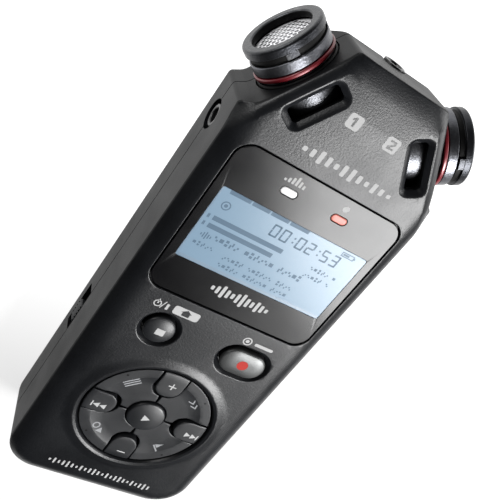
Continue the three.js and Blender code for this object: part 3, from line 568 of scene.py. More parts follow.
def front_height(p):
    """The front face: a flat middle, crowned sides and ends, fillets at the necks, a lip around the pad."""
    x, y = np.abs(p[:, 0]) - HALF_WIDTH + TAIL_CORNER, TAIL_CORNER - p[:, 1]
    corner = (x > 0) & (y > 0)
    edge = TAIL_CORNER - np.hypot(x, y)
    side = CROWN_DROP * np.clip(1 - np.where(corner, edge, TAIL_CORNER - x) / CROWN_WIDTH, 0, 1) ** 3
    tail = TAIL_DROP * np.clip((5 - np.where(corner, edge, p[:, 1])) / TAIL_RUN, 0, 1) ** 2
    head = sum(drop * np.clip((p[:, 1] - start) / run, 0, 1) ** 2 for drop, start, run in HEAD_DROPS)
    turn = np.arctan2(np.maximum(y, 0), np.maximum(x, 1e-6)) / (math.pi / 2)
    z = FACE_Z - np.where(corner, side * (1 - turn) + tail * turn, np.hypot(side, tail + head))
    t = np.clip((along_neck(p) - NECK_D + NECK_FILLET) / NECK_FILLET, 0, 1)
    z -= 1.15 * (1 - np.sqrt(1 - np.minimum(t, 0.995) ** 2)) + 0.45 * t
    r = pad_radius(p)
    z += LIP_HEIGHT * np.cos(math.pi / 2 * np.clip((np.maximum(r, LIP_R) - LIP_R) / LIP_WIDTH, 0, 1)) ** 2
    z -= bowl(r, PAD_BOWL_R, 0.75, 1.8)
    z -= bowl(stop_distance(p), CAP_BOWL_R, 0.3, 1.15)
    z -= bowl(record_distance(p), CAP_BOWL_R, 0.3, 1.15)
    for w in WINDOWS:
        d = distance(p, w)
        z -= WINDOW_DEPTH * np.where(inside(p, w), 1.0, np.clip(1 - d / WINDOW_BEVEL, 0, 1) ** 1.5)
    d = distance(p, SEAT)
    z -= np.where(d < 0.28, 0.28 - np.sqrt(np.maximum(0, 0.28 ** 2 - (0.28 - d) ** 2)), 0)
    return z


def back_height(p):
    """The back face: flat, with a wide round edge and the head drawn in towards the seam."""
    d, r = distance(p, OUTLINE), BACK_RADIUS
    z = np.where(d < r, r - np.sqrt(np.maximum(0, r * r - (r - d) ** 2)), 0)
    return np.maximum(z, np.interp(p[:, 1], [0, 133.5, 136.5, 140.2], [0, 0, 2.2, 9.9]))


def neck_line(side, u):
    """Line across the case at a distance u along a microphone's axis."""
    across = (-side * S31, C31)
    return [(side * C31 * u + across[0] * k, S31 * u + across[1] * k) for k in np.linspace(40, 110, 15)]


def crown_line(d):
    """Open line around the tail at a distance d inside the sides."""
    w, r = HALF_WIDTH - d, TAIL_CORNER - d
    right = arc(r, -math.pi / 2, 0, 13, w - r, TAIL_CORNER) + [(w, y) for y in np.arange(12, 142, 2)]
    return [(-x, y) for x, y in right[::-1]] + right


def lean_head(ob):
    """Leans the head end of a shell back below the crown."""
    me = ob.data
    v = np.empty(len(me.vertices) * 3)
    me.vertices.foreach_get("co", v)
    v = v.reshape(-1, 3) * 1000
    y = v[:, 1] - TAIL * 1000
    k = y > SHOULDER_Y - 2
    v[k, 1] -= HEAD_LEAN * np.maximum(0, FACE_Z - CROWN_DROP - v[k, 2])
    me.vertices.foreach_set("co", (v * 0.001).ravel())
    me.update()


def mic_cutters():
    """Room for both microphones' barrels and collars."""
    out = []
    for s in (-1, 1):
        for r, deep in ((9.2 + GAP, 11 + GAP), (8.5 + GAP, 16.7 + GAP)):
            v, f = lathe([(0, -deep), (r, -deep), (r, -5), (0, -5)], 72)
            out.append(link("cutter", v, f, [], matrix=mic_matrix(s)))
    return out


def cylinder_cutter(matrix, r, z0, z1, n=48):
    """Closed cylinder along a matrix's Z."""
    v, f = lathe([(0, z0), (r, z0), (r, z1), (0, z1)], n)
    return link("cutter", v, f, [], matrix=matrix)


def box_cutter(x0, x1, y0, y1, z0, z1):
    """Closed box between the given faces."""
    return prism(box(x0, y0, x1, y1), z0, z1)


LEFT = basis((0, 0, 1), (0, 1, 0), (-1, 0, 0), (-HALF_WIDTH, 109.9, 11.3))
HEAD = y_basis(0.6, 139.9, 11.4)

pad_radii = (17.85, 18.0, 18.2, 18.45, 18.65, PAD_BOWL_R, 19.2, 20, 20.8, LIP_R + LIP_WIDTH)
pad_rings = [circle(0, PAD_Y, r, 120) for r in pad_radii]
bowl_radii = (4.8, 5.25, 5.35, 5.45, CAP_BOWL_R)
stop_rings = [circle(*STOP, r, 64) for r in bowl_radii]
record_rings = [obround(*RECORD, RECORD_HALF, r, 26) for r in bowl_radii]
window_rings = [window_loop(s, g) for s in (-1, 1) for g in (0.0, 0.4, 0.8, 1.1, 1.35, WINDOW_BEVEL)]
seat_rings = [SEAT] + [inset(SEAT, -d) for d in (0.03, 0.1, 0.18, 0.28)]
crown_lines = [crown_line(d) for d in (0.8, 1.5, 2.3, 3.3, 4.4, 5.6, CROWN_WIDTH)]
end_lines = [[(x, y) for x in np.linspace(-27, 27, 28)] for y in (135, 136.3, 137.6, 138.8, 139.6)]
neck_lines = [neck_line(s, NECK_D - d) for s in (-1, 1) for d in (0.45, 0.8, 1.2, 1.6, 2.0, NECK_FILLET)]

v, f = relief(OUTLINE, front_height, SEAM_Z + GAP / 2, rim=0.28,
              holes=[(circle(0, PAD_Y, PAD_HOLE_R, 120), 0), (circle(*STOP, CAP_HOLE_R, 64), 0),
                     (obround(*RECORD, RECORD_HALF, CAP_HOLE_R, 26), 0)],
              features=pad_rings + stop_rings + record_rings + window_rings + seat_rings,
              lines=crown_lines + end_lines + neck_lines)
front = link("front_cover_shell", v, f, M_CASE)
screen_hole = rect(0, LCD["y"], LCD["w"], LCD["l"], 1)
boolean(front, [
    prism(case_outline(2), 5, 20.4), prism(case_outline(4.6), 5, 22.4), prism(SEAT, 23.4, 30),
    prism(screen_hole, 20, 30), *(prism(obround(x, LAMP_Y, 1.15, 1.15), 20, 30) for x in (-LAMP_X, LAMP_X)),
    *(prism(w, 15, 30) for w in WINDOWS),
])
lean_head(front)
boolean(front, mic_cutters() + [
    cylinder_cutter(LEFT, 3.7, -3.5, 2), cylinder_cutter(HEAD, 3.0, -3, 3),
    box_cutter(25.3, 28, 71.7, 97.8, 12.3, 18.5), box_cutter(23, 27, 73.6, 86.4, 14.4, 16.9),
    box_cutter(23, 27, 88.2, 96.8, 13.2, 16.9),
])
shade_sides(front, M_SIDE_SHADE)
stand_in(front, "front_cover")

hatch = rect(0, 34.15, 2 * 17.3, 70.3, 0.6)
v, f = relief(OUTLINE, back_height, SEAM_Z - GAP / 2, rim=0,
              features=[inset(OUTLINE, d) for d in (0.1, 0.35, 0.75, 1.3, 2.0, 2.9, 4.3)],
              lines=[[(-30, y), (30, y)] for y in (133.5, 136.5, 138.4)])
rear = link("rear_cover_shell", v, f, M_CASE)
at_nut, *at_screws = (Matrix.Translation((x, y, 0)) for x, y in ((0, TRIPOD_Y), *SCREWS))
bay = box_cutter(-15.4, 15.4, 9.2, 68.3, 2.0, 16.9)
boolean(rear, [prism(rect(0, 57.8, 49.2, 110.4, 9), 2.6, 12), box_cutter(-19, 19, 112, 122, 2.6, 12)])
boolean(rear, [bay, cylinder_cutter(at_nut, 6.8, 2, 9)], "UNION")
boolean(rear, [cylinder_cutter(m, 3.2, 1.5, SEAM_Z - GAP / 2) for m in at_screws], "UNION")
lean_head(rear)
slots = [prism(rect(0, SPEAKER_Y + y, 2 * math.sqrt(6.5 ** 2 - y ** 2), 1.1, 0.5), -1, 4)
         for y in (-4.8, -2.4, 0, 2.4, 4.8)]
screw_holes = [cylinder_cutter(m, r, -1, deep) for m in at_screws for r, deep in ((2.2, 6.5), (1.3, 12))]
hold_cut = prism(rect(46, 9.0, 13.6, 5.0, 0.7), -28, -25.6, matrix=X_AXIS)
boolean(rear, [box_cutter(-14.6, 14.6, 10, 67.5, -1, 16.1), prism(hatch, -1, 1.8),
               cylinder_cutter(at_nut, 3.6, -1, 4), cylinder_cutter(at_nut, 5.5, 2.6, 10),
               *slots, *screw_holes, *mic_cutters(),
               cylinder_cutter(LEFT, 3.7, -3.5, 2), cylinder_cutter(HEAD, 3.0, -3, 3), hold_cut,
               box_cutter(-28, -23.8, 41.2, 50.8, 7.6, 9.6)])
shade_sides(rear, M_SIDE_SHADE)
stand_in(rear, "rear_cover")

# ---------- display ----------

lens_loop = rect(0, LENS["y"], LENS["w"], LENS["l"], LENS["r"], 6)
lcd_loop = rect(0, LCD["y"], LCD["w"], LCD["l"], 0.7)
lamp_loops = [obround(x, LAMP_Y, 1.15, 0.95) for x in (-LAMP_X, LAMP_X)]
v, f = relief(lens_loop, flat_at(LENS["top"]), 23.7, rim=0.18,
              holes=[(inset(lcd_loop, -0.06), 0.05)] + [(inset(h, -0.12), 0.08) for h in lamp_loops])
stand_in(link("lens_plate", v, f, M_LENS), "display_lens")
v, f = relief(lcd_loop, flat_at(LCD["top"]), 22.0, rim=0.08)
stand_in(link("lcd_panel", v, f, M_LCD), "lcd_module")
for name, loop, mat, node, slot in (("peak_light", lamp_loops[0], M_LAMP_W, "peak_lamp", "white_lamp"),
                                    ("record_light", lamp_loops[1], M_LAMP_R, "record_lamp", "red_lamp")):
    v, f = relief(loop, flat_at(LENS["top"] + 0.05), 21.0, rim=0.3)
    stand_in(link(name, v, f, mat), node)

# ---------- keys ----------

def key(name, node, cap, flange, mat=M_KEY):
    """A key cap with its flange joined on, both from relief, riding on its own body."""
    ob = link(name, *cap, mat)
    boolean(ob, [link("flange", *flange, [])], "UNION")
    stand_in(ob, node, BODY_OF[node])


def stop_height(p):
    """Domed top of the stop key."""
    return 25.88 - 0.75 * (stop_distance(p) / CAP_R) ** 2.4


def record_height(p):
    """Domed top of the long record key."""
    return 25.88 - 0.6 * (record_distance(p) / CAP_R) ** 2.6


def quadrant_height(p):
    """Quadrant key, dished towards the middle of the pad."""
    r = pad_radius(p)
    dish = 0.5 * (1 - np.clip((r - 10.8) / 3.7, 0, 1) ** 2) + 0.15 * np.clip((12.5 - r) / 5, 0, 1)
    return 24.9 - dish


def arrow_height(p):
    """Arrow key, eased down at both ends."""
    r = pad_radius(p)
    return 25.2 - 0.22 * np.clip((r - 15.2) / 2.0, 0, 1) ** 2 - 0.12 * np.clip((11 - r) / 2.1, 0, 1) ** 2


def play_height(p):
    """Domed top of the play key."""
    return 25.58 - 0.55 * (pad_radius(p) / PLAY_R) ** 2.3


def quadrant_loop(outer):
    """Outline of the quadrant key in the first quadrant of the pad."""
    half, start, bend, hub, slit = 3.95, 7.8, 3.6, 5.4, 0.16
    near, cut = math.asin(half / outer), math.asin(slit / hub)
    first = [(start + bend + bend * math.cos(a), bend * math.sin(a) + 0.3)
             for a in np.linspace(math.pi * 0.99, math.pi / 2, 12)]
    second = [(y, x) for x, y in first[::-1]]
    return first + arc(outer, near, math.pi / 2 - near, 20) + second + arc(hub, math.pi / 2 - cut, cut, 16)


def arrow_loop(outer):
    """Outline of the arrow key that points along +X."""
    half, start, bend = 3.6, 8.9, 3.5
    near = math.asin(half / outer)
    end = [(start + bend - bend * math.sin(a), 0.1 * np.sign(math.cos(a)) + bend * math.cos(a))
           for a in np.linspace(0, math.pi, 19)]
    return end + arc(outer, -near, near, 12)


key("stop_cap", "stop_key",
    relief(circle(*STOP, CAP_R, 72), stop_height, KEY_BASE, rim=0.35,
           features=[circle(*STOP, r, 72) for r in (0.8, 1.6, 2.3, 2.8, 3.2)]),
    relief(circle(*STOP, CAP_FLANGE_R, 48), flat_at(FLANGE_TOP), FLANGE_BASE, rim=0.15))
key("record_cap", "record_key",
    relief(obround(*RECORD, RECORD_HALF, CAP_R, 28), record_height, KEY_BASE, rim=0.4,
           features=[obround(*RECORD, RECORD_HALF, r, 24) for r in (0.9, 1.7, 2.4, 2.9, 3.3)]),
    relief(obround(*RECORD, RECORD_HALF, CAP_FLANGE_R, 20), flat_at(FLANGE_TOP), FLANGE_BASE, rim=0.15),
    M_RECORD)
for nodes, outline, height, rim, radii in (
        (("quick_key", "menu_key", "playback_key", "mark_key"), quadrant_loop, quadrant_height, 0.22,
         (7.8, 9.5, 10.8, 11.4, 12, 12.6, 13.2, 13.8, 14.2, 14.5, 15.5)),
        (("forward_key", "plus_key", "rewind_key", "minus_key"), arrow_loop, arrow_height, 0.25,
         (9.3, 9.8, 10.4, 11, 13, 15.2, 15.8, 16.3, 16.7))):
    for quarter, node in enumerate(nodes):
        cap, flange = (turned(outline(r), quarter * math.pi / 2, 0, PAD_Y) for r in (PAD_R, PAD_FLANGE_R))
        key(node.replace("_key", "_cap"), node,
            relief(cap, height, KEY_BASE, rim=rim, features=[circle(0, PAD_Y, r, 96) for r in radii]),
            relief(flange, flat_at(FLANGE_TOP), FLANGE_BASE, rim=0))
key("play_cap", "play_key",
    relief(circle(0, PAD_Y, PLAY_R, 80), play_height, 20.4, rim=0.4,
           features=[circle(0, PAD_Y, r, 80) for r in (1.2, 2.2, 3.0, 3.6, 4.1, 4.5)]),
    relief(circle(0, PAD_Y, PLAY_R + 1.1, 48), flat_at(20.7), 20.0, rim=0.1))


# ---------- printed marks ----------

def print_marks(name, body, mat, shapes, height, thick=0.02, sink=0.12):
    """One thin raised print made of (outline, holes) shapes on a surface."""
    verts, faces = [], []
    for outer, holes in shapes:
        if area(outer) < 0:
            outer = outer[::-1]
        pts = np.array(split(outer, 0.6))
        low = float(height(pts).min()) - sink
        (x0, y0), (x1, y1) = pts.min(0) - 0.1, pts.max(0) + 0.1
        grid = [[(x, y0), (x, y1)] for x in np.arange(x0 + 0.3, x1, 0.45)]
        grid += [[(x0, y), (x1, y)] for y in np.arange(y0 + 0.3, y1, 0.45)]
        v, f = relief([tuple(q) for q in pts], lambda p: height(p) + thick, low, rim=0,
                      holes=[(h, 0) for h in holes], lines=grid)
        k = sum(len(x) for x in verts)
        verts.append(v)
        faces += [tuple(i + k for i in face) for face in f]
    link(name, np.concatenate(verts), faces, mat, body=body)


def line(x0, y0, x1, y1, w):
    """Bar of width w between two points."""
    d = Vector((x1 - x0, y1 - y0)).normalized() * (w / 2)
    return [(x0 + d.y, y0 - d.x), (x1 + d.y, y1 - d.x), (x1 - d.y, y1 + d.x), (x0 - d.y, y0 + d.x)]


def triangle(x, y, w, h, way=1):
    """Arrowhead about x, y that points along +X, or along -X when way is -1."""
    return [(x - way * w / 2, y - h / 2), (x + way * w / 2, y), (x - way * w / 2, y + h / 2)]


def ring_loops(x, y, r, w):
    """Circle of radius r with a hole that leaves a ring of width w."""
    return circle(x, y, r, 28), [circle(x, y, r - w, 28)]


def bars(x0, pitch, half, y, heights, r):
    """Row of bars about y, such as a drawn sound level."""
    return [(box(x0 + i * pitch - half, y - h, x0 + i * pitch + half, y + h, r), [])
            for i, h in enumerate(heights)]


# level bars on the head
levels = (0.35, 0.6, 1.0, 0.75, 0.45, 0.9, 1.0, 0.65, 0.4, 0.8, 0.55, 0.3)
WHITE = bars(-10.4, 2.1, 0.55, 118.2, [1.55 * h for h in levels], 0.3)
# channel marks 1 and 2 in rounded squares
ONE = ((-0.25, 127.2), (0.3, 127.2), (0.3, 129.4), (-0.2, 129.4), (-0.75, 128.9), (-0.75, 128.5),
       (-0.25, 128.8))
TWO = ((-0.85, 127.2), (0.85, 127.2), (0.85, 127.7), (-0.1, 127.7), (0.85, 128.5), (0.85, 129.4),
       (-0.8, 129.4), (-0.8, 128.9), (0.3, 128.9), (0.3, 128.65), (-0.85, 127.8))
for x, numeral in ((-5.1, ONE), (5.1, TWO)):
    WHITE.append((box(x - 1.75, 126.6, x + 1.75, 130.0, 0.75), [[(x + dx, y) for dx, y in numeral]]))
# home label: a house in a rounded box, with a power mark before it
house = [(-9.9, 67.2), (-7.9, 67.2), (-7.9, 68.2), (-7.4, 68.2), (-8.9, 69.25), (-10.4, 68.2), (-9.9, 68.2)]
WHITE.append((box(-12.3, 66.85, -5.4, 69.45, 0.7), [house]))
WHITE += [ring_loops(-16.5, 67.9, 1.0, 0.28), (box(-16.65, 67.9, -16.35, 69.3), []),
          (line(-15.5, 66.9, -14.7, 69.2, 0.25), []), (box(-14.25, 67.0, -13.6, 68.8, 0.2), [])]
# record label: a ring and a bar
WHITE += [ring_loops(9.0, 67.8, 1.25, 0.35), (circle(9.0, 67.8, 0.5, 20), []),
          (box(11.2, 67.35, 16.6, 68.25, 0.4), [])]
# tail: a level trace
WHITE += bars(-14.9, 1.296, 0.27, 7.1, (0.45, 1.05, 0.6, 0.95, 1.25, 0.8) * 4, 0.2)
print_marks("case_print_white", "case", M_WHITE, WHITE, front_height, sink=0.05)

GLASS = [(box(-9.9 + i * 0.95, 109.8, -9.3 + i * 0.95, 109.8 + h, 0.12), [])
         for i, h in enumerate((0.6, 1.1, 1.6, 2.2, 1.5, 1.0))]
GLASS += [(circle(6.75, 110.7, 0.8, 24), [])]
GLASS += bars(-7.5, 1.38, 0.42, 77.8, (0.6, 1.1, 1.8, 1.2, 0.8, 1.4, 2.0, 1.3, 0.9, 1.6, 1.1, 0.6), 0.3)
print_marks("lens_print", "case", M_WHITE, GLASS, flat_at(LENS["top"]), sink=0.05)

plus = [(0.33, 44.65), (0.67, 44.65), (0.67, 45.55), (1.6, 45.55), (1.6, 45.89), (0.67, 45.89),
        (0.67, 46.8), (0.33, 46.8), (0.33, 45.89), (-0.6, 45.89), (-0.6, 45.55), (0.33, 45.55)]
rewind = [(box(-15.05, 30.7, -14.7, 32.5), [])]
rewind += [(triangle(x, 31.6, 1.7, 1.8, -1), []) for x in (-13.8, -12.0)]
forward = [(box(16.1, 30.8, 16.45, 32.6), [])]
forward += [(triangle(x, 31.7, 1.7, 1.8), []) for x in (15.2, 13.4)]
for name, mat, shapes, height in (
        ("stop", M_WHITE, [(rect(STOP[0] + 0.2, STOP[1], 2.3, 1.9, 0.12), [])], stop_height),
        ("record", M_RED, [(circle(RECORD[0] - 0.15, RECORD[1] + 0.05, 1.5, 36), [])], record_height),
        ("play", M_WHITE, [(triangle(0.15, PAD_Y, 2.1, 2.3), [])], play_height),
        ("plus", M_WHITE, [(plus, [])], arrow_height),
        ("minus", M_WHITE, [(box(-0.6, 17.85, 1.7, 18.2), [])], arrow_height),
        ("rewind", M_WHITE, rewind, arrow_height), ("forward", M_WHITE, forward, arrow_height)):
    print_marks(name + "_mark", BODY_OF[name + "_key"], mat, shapes, height)


def on_arc(shapes, angle):
    """Places shapes drawn about the origin on the pad's label arc."""
    a, radius = math.radians(angle), 13.0
    t = a - math.pi / 2 if angle > 0 else a + math.pi / 2
    x, y = radius * math.cos(a), PAD_Y + radius * math.sin(a)
    return [(turned(o, t, x, y), [turned(h, t, x, y) for h in holes]) for o, holes in shapes]


menu = [(box(-2.2, k - 0.2, 2.2, k + 0.2, 0.15), []) for k in (-0.9, 0, 0.9)]
quick = [([(-1.2, -0.9), (0.0, 0.0), (-1.2, 0.9), (-1.75, 0.9), (-0.6, 0.0), (-1.75, -0.9)], []),
         ([(0.6, -0.9), (1.8, 0.0), (0.6, 0.9), (0.05, 0.9), (1.2, 0.0), (0.05, -0.9)], [])]
repeat = [(circle(-1.1, 0, 1.05, 28), [circle(-1.1, 0, 0.7, 28)]), (triangle(1.4, 0, 1.7, 1.9), [])]
flag = [(box(-1.3, -1.2, -0.9, 1.2), []), ([(-0.7, -0.1), (1.5, 0.5), (-0.7, 1.2)], [])]
for name, node, shapes, angle, dot_angle in (
        ("menu_mark", "menu_key", menu, 134, 135), ("quick_mark", "quick_key", quick, 46, 45),
        ("playback_mark", "playback_key", repeat, -134, -135), ("flag_mark", "mark_key", flag, -45, -45)):
    print_marks(name, BODY_OF[node], M_GREY, on_arc(shapes, angle), quadrant_height)
    # The dot takes the shade black: painted shade of a small dimple
    turn = math.radians(dot_angle)
    dot = circle(16.1 * math.cos(turn), PAD_Y + 16.1 * math.sin(turn), 0.34, 16)
    print_marks(name + "_dot", BODY_OF[node], M_SHADE_BLACK, [(dot, [])], quadrant_height, thick=0.01)

# ---------- what the display shows ----------

SEGMENTS = {0: "abcdef", 2: "abdeg", 3: "abcdg", 5: "acdfg"}


def digit(n, x, y, w, h, t):
    """Seven-segment digit with its lower left corner at x, y."""
    m, g = h / 2, 0.06
    bars = {
        "a": box(x + t / 2 + g, y + h - t, x + w - t / 2 - g, y + h),
        "d": box(x + t / 2 + g, y, x + w - t / 2 - g, y + t),
        "g": box(x + t / 2 + g, y + m - t / 2, x + w - t / 2 - g, y + m + t / 2),
        "b": box(x + w - t, y + m + g, x + w, y + h - g), "c": box(x + w - t, y + g, x + w, y + m - g),
        "e": box(x, y + g, x + t, y + m - g), "f": box(x, y + m + g, x + t, y + h - g),
    }
    return [(bars[s], []) for s in SEGMENTS[n]]


ink = []
x = -4.8
for n in (0, 0, None, 0, 2, None, 5, 3):
    if n is None:
        ink += [(box(x + 0.5, 97.2, x + 0.95, 97.65), []), (box(x + 0.5, 98.4, x + 0.95, 98.85), [])]
        x += 1.6
    else:
        ink += digit(n, x, 96.4, 2.1, 3.3, 0.42)
        x += 2.75
for a, b in ((-18, -12.6), (-12.2, -7.6), (-7.2, -2.4), (-2.0, 3.2)):
    ink.append((box(a, 101.0, b, 102.0, 0.1), []))
ink += [(box(13.4, 100.1, 17.0, 101.4), [box(13.65, 100.35, 16.75, 101.15)]),
        (box(17.0, 100.5, 17.35, 101.0), []), (box(13.9, 100.5, 15.6, 101.0), [])]
ink += [ring_loops(-16.9, 98.0, 1.15, 0.3), (circle(-16.9, 98.0, 0.45, 16), [])]
for y, b in ((94.15, 0.9), (92.0, -0.6)):
    ink.append((box(-17.8, y - 0.62, b, y + 0.62), []))
for x in (-19.2, -18.9):
    ink += [(box(x, 93.6, x + 0.25, 94.7), []), (box(x, 91.5, x + 0.25, 92.6), [])]

CELLS = (((0, 0, 1.4, 1.6), (1.6, 1.8, 3, 3.4)), ((0, 1, 3, 4),), ((0, 0, 1.2, 3), (1.6, 2, 2.8, 5)),
         ((0, 2.6, 1.4, 4.2), (1.6, 0.6, 3, 2.2)), ((0.4, 0, 2.6, 2), (0.4, 3, 2.6, 5)))


def dots(x0, x1, y, h, step):
    """Row of small blocks that stands for a line of information on the display."""
    u, shapes = h / 5, []
    for k, x in enumerate(np.arange(x0, x1 - 3 * u, step)):
        if k % 7 == 5:
            continue
        for a, b, c, d in CELLS[(k * 3 + int(y)) % 5]:
            shapes.append((box(x + a * u, y + b * u, x + c * u, y + d * u), []))
    return shapes


for row in ((-14.6, 9.6, 88.9, 1.7, 1.35), (-10.2, 10.0, 85.6, 1.3, 1.15), (-10.2, 9.0, 83.4, 1.3, 1.15),
            (-18.4, -13.0, 86.2, 1.2, 1.1), (9.4, 17.0, 93.2, 1.2, 1.1), (9.0, 17.0, 90.9, 1.2, 1.1)):
    ink += dots(*row)
ink += [(box(-18.0 + i * 0.6, 89.3 - h, -18.0 + i * 0.6 + 0.3, 89.3 + h), []) for i, h in
        enumerate((0.3, 0.7, 1.0, 0.6, 0.35))]
edge = [(box(-20.05, 81.9, 20.05, 82.75), []), (box(-20.05, 82.75, -19.75, 101.9), [])]
print_marks("lcd_border", "case", M_BEZEL, edge, flat_at(LCD["top"]), thick=0.01, sink=0.05)
print_marks("lcd_content", "case", M_INK, ink, flat_at(LCD["top"]), thick=0.012, sink=0.05)


# ---------- microphones ----------

def sector(r0, r1, a0, a1):
    """Flat block of a ring between two angles in degrees."""
    start, end = math.radians(a0), math.radians(a1)
    return arc(r1, start, end, 10) + arc(r0, end, start, 10)


def turned_piece(name, profile, mats, matrix, node, n=96, r=0.15, paint=None, body="case"):
    """Lathed stand-in for a CAD node; paint(radius, height) gives each face's material."""
    v, f = lathe(soft(profile, r), n)
    pts = np.array(v)
    which = [paint(np.hypot(pts[q, 0], pts[q, 1]).mean(), pts[q, 2].mean()) for q in f] if paint else None
    stand_in(link(name, v, f, mats, which, matrix=matrix), node, body)


hex_holes = []
pitch = 1.28
for row in range(-6, 7):
    for col in range(-6, 7):
        x, y = row * pitch * 0.866, (col + 0.5 * (row % 2)) * pitch
        if math.hypot(x, y) < 6.5:
            hex_holes.append((circle(x, y, 0.53, 12), 0.05))

for side, label in ((-1, "left"), (1, "right")):
    at = mic_matrix(side)
    # The rim's inner wall and the band below the rim take the shade black: painted shade in these hollows
    turned_piece(f"mic_rim_shell_{label}", [
        (6.6, -0.35), (6.6, -1.6), (7.4, -1.6), (7.4, -3.3), (8.35, -3.3), (8.35, -2.0), (9.0, -2.0),
        (9.0, -0.5), (8.8, -0.12), (8.5, 0), (6.95, 0)],
        # the upright outer wall takes the darker skirt copy: painted shade on the wall
        [M_RIM, M_SHADE_BLACK, M_SKIRT_SHADE], at, f"mic_rim_{label}", r=0.16,
        paint=lambda r, z: (1 if r < 6.8 and z < -0.2 or r < 7.5 and z < -1 or z < -2.1
                            else 2 if z < -0.4 else 0))
    v, f = relief(circle(0, 0, 7.1, 96), lambda p: -1.9 - 0.006 * (p ** 2).sum(1), -2.3, rim=0,
                  holes=hex_holes, steps=2)
    mesh = link(f"mic_mesh_{label}", v, f, M_MESH, body="case", matrix=at, crease=math.radians(60))
    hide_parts(f"mic_grille_{label}")
    # The barrel's groove under the red ring and its hollow top take the shade black: painted shade
    turned_piece(f"mic_body_{label}", [
        (0, -16.7), (7.9, -16.7), (8.5, -16.1), (8.5, -7.45), (7.9, -7.4), (7.9, -6.05), (8.9, -5.9),
        (8.9, -3.8), (8.7, -3.62), (5.4, -3.6), (5.4, -12), (0, -12)],
        [M_BARREL, M_SHADE_BLACK, M_SILVER], at, f"mic_barrel_{label}", r=0.12,
        paint=lambda r, z: 1 if r < 8.3 and z > -7.5 else 2 if z > -6.1 else 0)
    turned_piece(f"mic_red_ring_{label}", [
        (8.2, -7.15), (9.0, -7.15), (9.2, -6.95), (9.2, -6.4), (9.0, -6.2), (8.2, -6.2)],
        M_RING, at, f"mic_ring_{label}", r=0.12)
    # The collar under the red ring takes the shade black: partly its own black, partly painted shade beneath
    # the ring
    turned_piece(f"mic_seat_{label}", [
        (8.8, -11), (9.2, -11), (9.2, -8.15), (8.95, -7.8), (8.8, -7.8)],
        M_SHADE_BLACK, at, f"mic_collar_{label}", r=0.1)
    turned_piece(f"mic_capsule_felt_{label}", [(0, -9.5), (5, -9.5), (5, -4.6), (4.4, -4.3), (0, -4.3)],
                 M_FELT, at, f"mic_capsule_{label}", n=48)
    tabs = [prism(sector(8.3, 8.97, -9, 9), -3.3, -1.9, matrix=at),
            prism(sector(8.2, 8.87, 88, 108), -3.7, -2.6, matrix=at)]
    for i, tab in enumerate(tabs):
        tab.name = f"mic_tab_{label}_{i + 1}"
        tab.data.materials.append(M_SKIRT_SHADE if i == 0 else M_SILVER)
        bev = tab.modifiers.new("edge", "BEVEL")
        bev.width, bev.segments = 0.00012, 2
        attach(tab, "case")

# ---------- sockets and controls in the sides ----------

def jack(name, node, at, tip, back):
    """Round jack nose with a lined bore on a square body."""
    body = prism(rect(0, 0, 6, 6, 0.4), back, tip - 2.4, matrix=at)
    body.name = name
    body.data.materials.append(M_BLACK)
    v, f = lathe(soft([(0, back + 1), (2.7, back + 1), (2.7, tip), (2.0, tip), (1.8, tip - 0.3),
                       (1.8, back + 2), (0, back + 2)], 0.18), 72)
    nose = link("cutter", v, f, M_BLACK, matrix=at)
    bore = cylinder_cutter(at, 1.8, back + 2, tip + 1, 64)
    boolean(body, [bore])
    boolean(body, [nose], "UNION")
    stand_in(body, node)
    v, f = lathe(soft([(1.5, tip - 3.6), (1.78, tip - 3.6), (1.78, tip - 1.2), (1.5, tip - 1.2)], 0.08), 48)
    link(name + "_contact", v, f, M_STEEL, body="case", matrix=at)


jack("headphone_socket", "headphone_jack", LEFT, -0.4, -12.4)
jack("line_in_socket", "line_in_jack", HEAD, 0.4, -11.6)


def hold_height(p):
    """Finger ribs across the hold knob."""
    return -27.0 + 0.16 * (1 - np.cos(2 * math.pi * (p[:, 0] - 44.5) / 1.2))


knob_loop = split(rect(44.5, 8.6, 6, 3.2, 0.5), 0.2)
rib_lines = [[(y, 6), (y, 11)] for y in np.arange(41.6, 47.5, 0.15)]
v, f = relief(knob_loop, hold_height, -25.95, rim=0.2, lines=rib_lines)
slider = link("hold_knob", v, f, M_KEY, matrix=X_AXIS)
boolean(slider, [prism(rect(44.5, 8.6, 3, 1.4, 0.1), -26.1, -23.3, matrix=X_AXIS)], "UNION")
stand_in(slider, "hold_slider", "hold_slider")


def door_height(p):
    """Card door with a finger nick in its upper edge."""
    nick = np.clip(1 - np.abs(p[:, 0] - 84.75) / 2.6, 0, 1) * np.clip((p[:, 1] - 17.1) / 1.0, 0, 1)
    return 26.8 - 0.6 * np.clip(nick * 3, 0, 1)


door_loop = split(rect(84.75, 15.4, 25.5, 5.6, 0.8), 0.5)
v, f = relief(door_loop, door_height, 25.6, rim=0.25,
              features=[rect(84.75, 17.9, 5.2 - g, 1.8 - g, 0.3) for g in (0, 0.5)],
              lines=[[(y, 17), (y, 18.5)] for y in np.arange(82, 87.6, 0.4)])
stand_in(link("card_flap", v, f, M_CASE, matrix=X_AXIS), "card_door", "card_door")

# ---------- battery cover and what is behind it ----------

GROOVE_YS = [12.4 + 1.8 * k for k in range(5)]


def hatch_height(p):
    """Outside of the battery cover, with grip grooves near the tail."""
    z = back_height(p)
    for y in GROOVE_YS:
        near = np.clip(1.6 - np.abs(p[:, 1] - y) / 0.35, 0, 1)
        z = z + 0.4 * near * (np.abs(p[:, 0]) < 7.01)
    return z


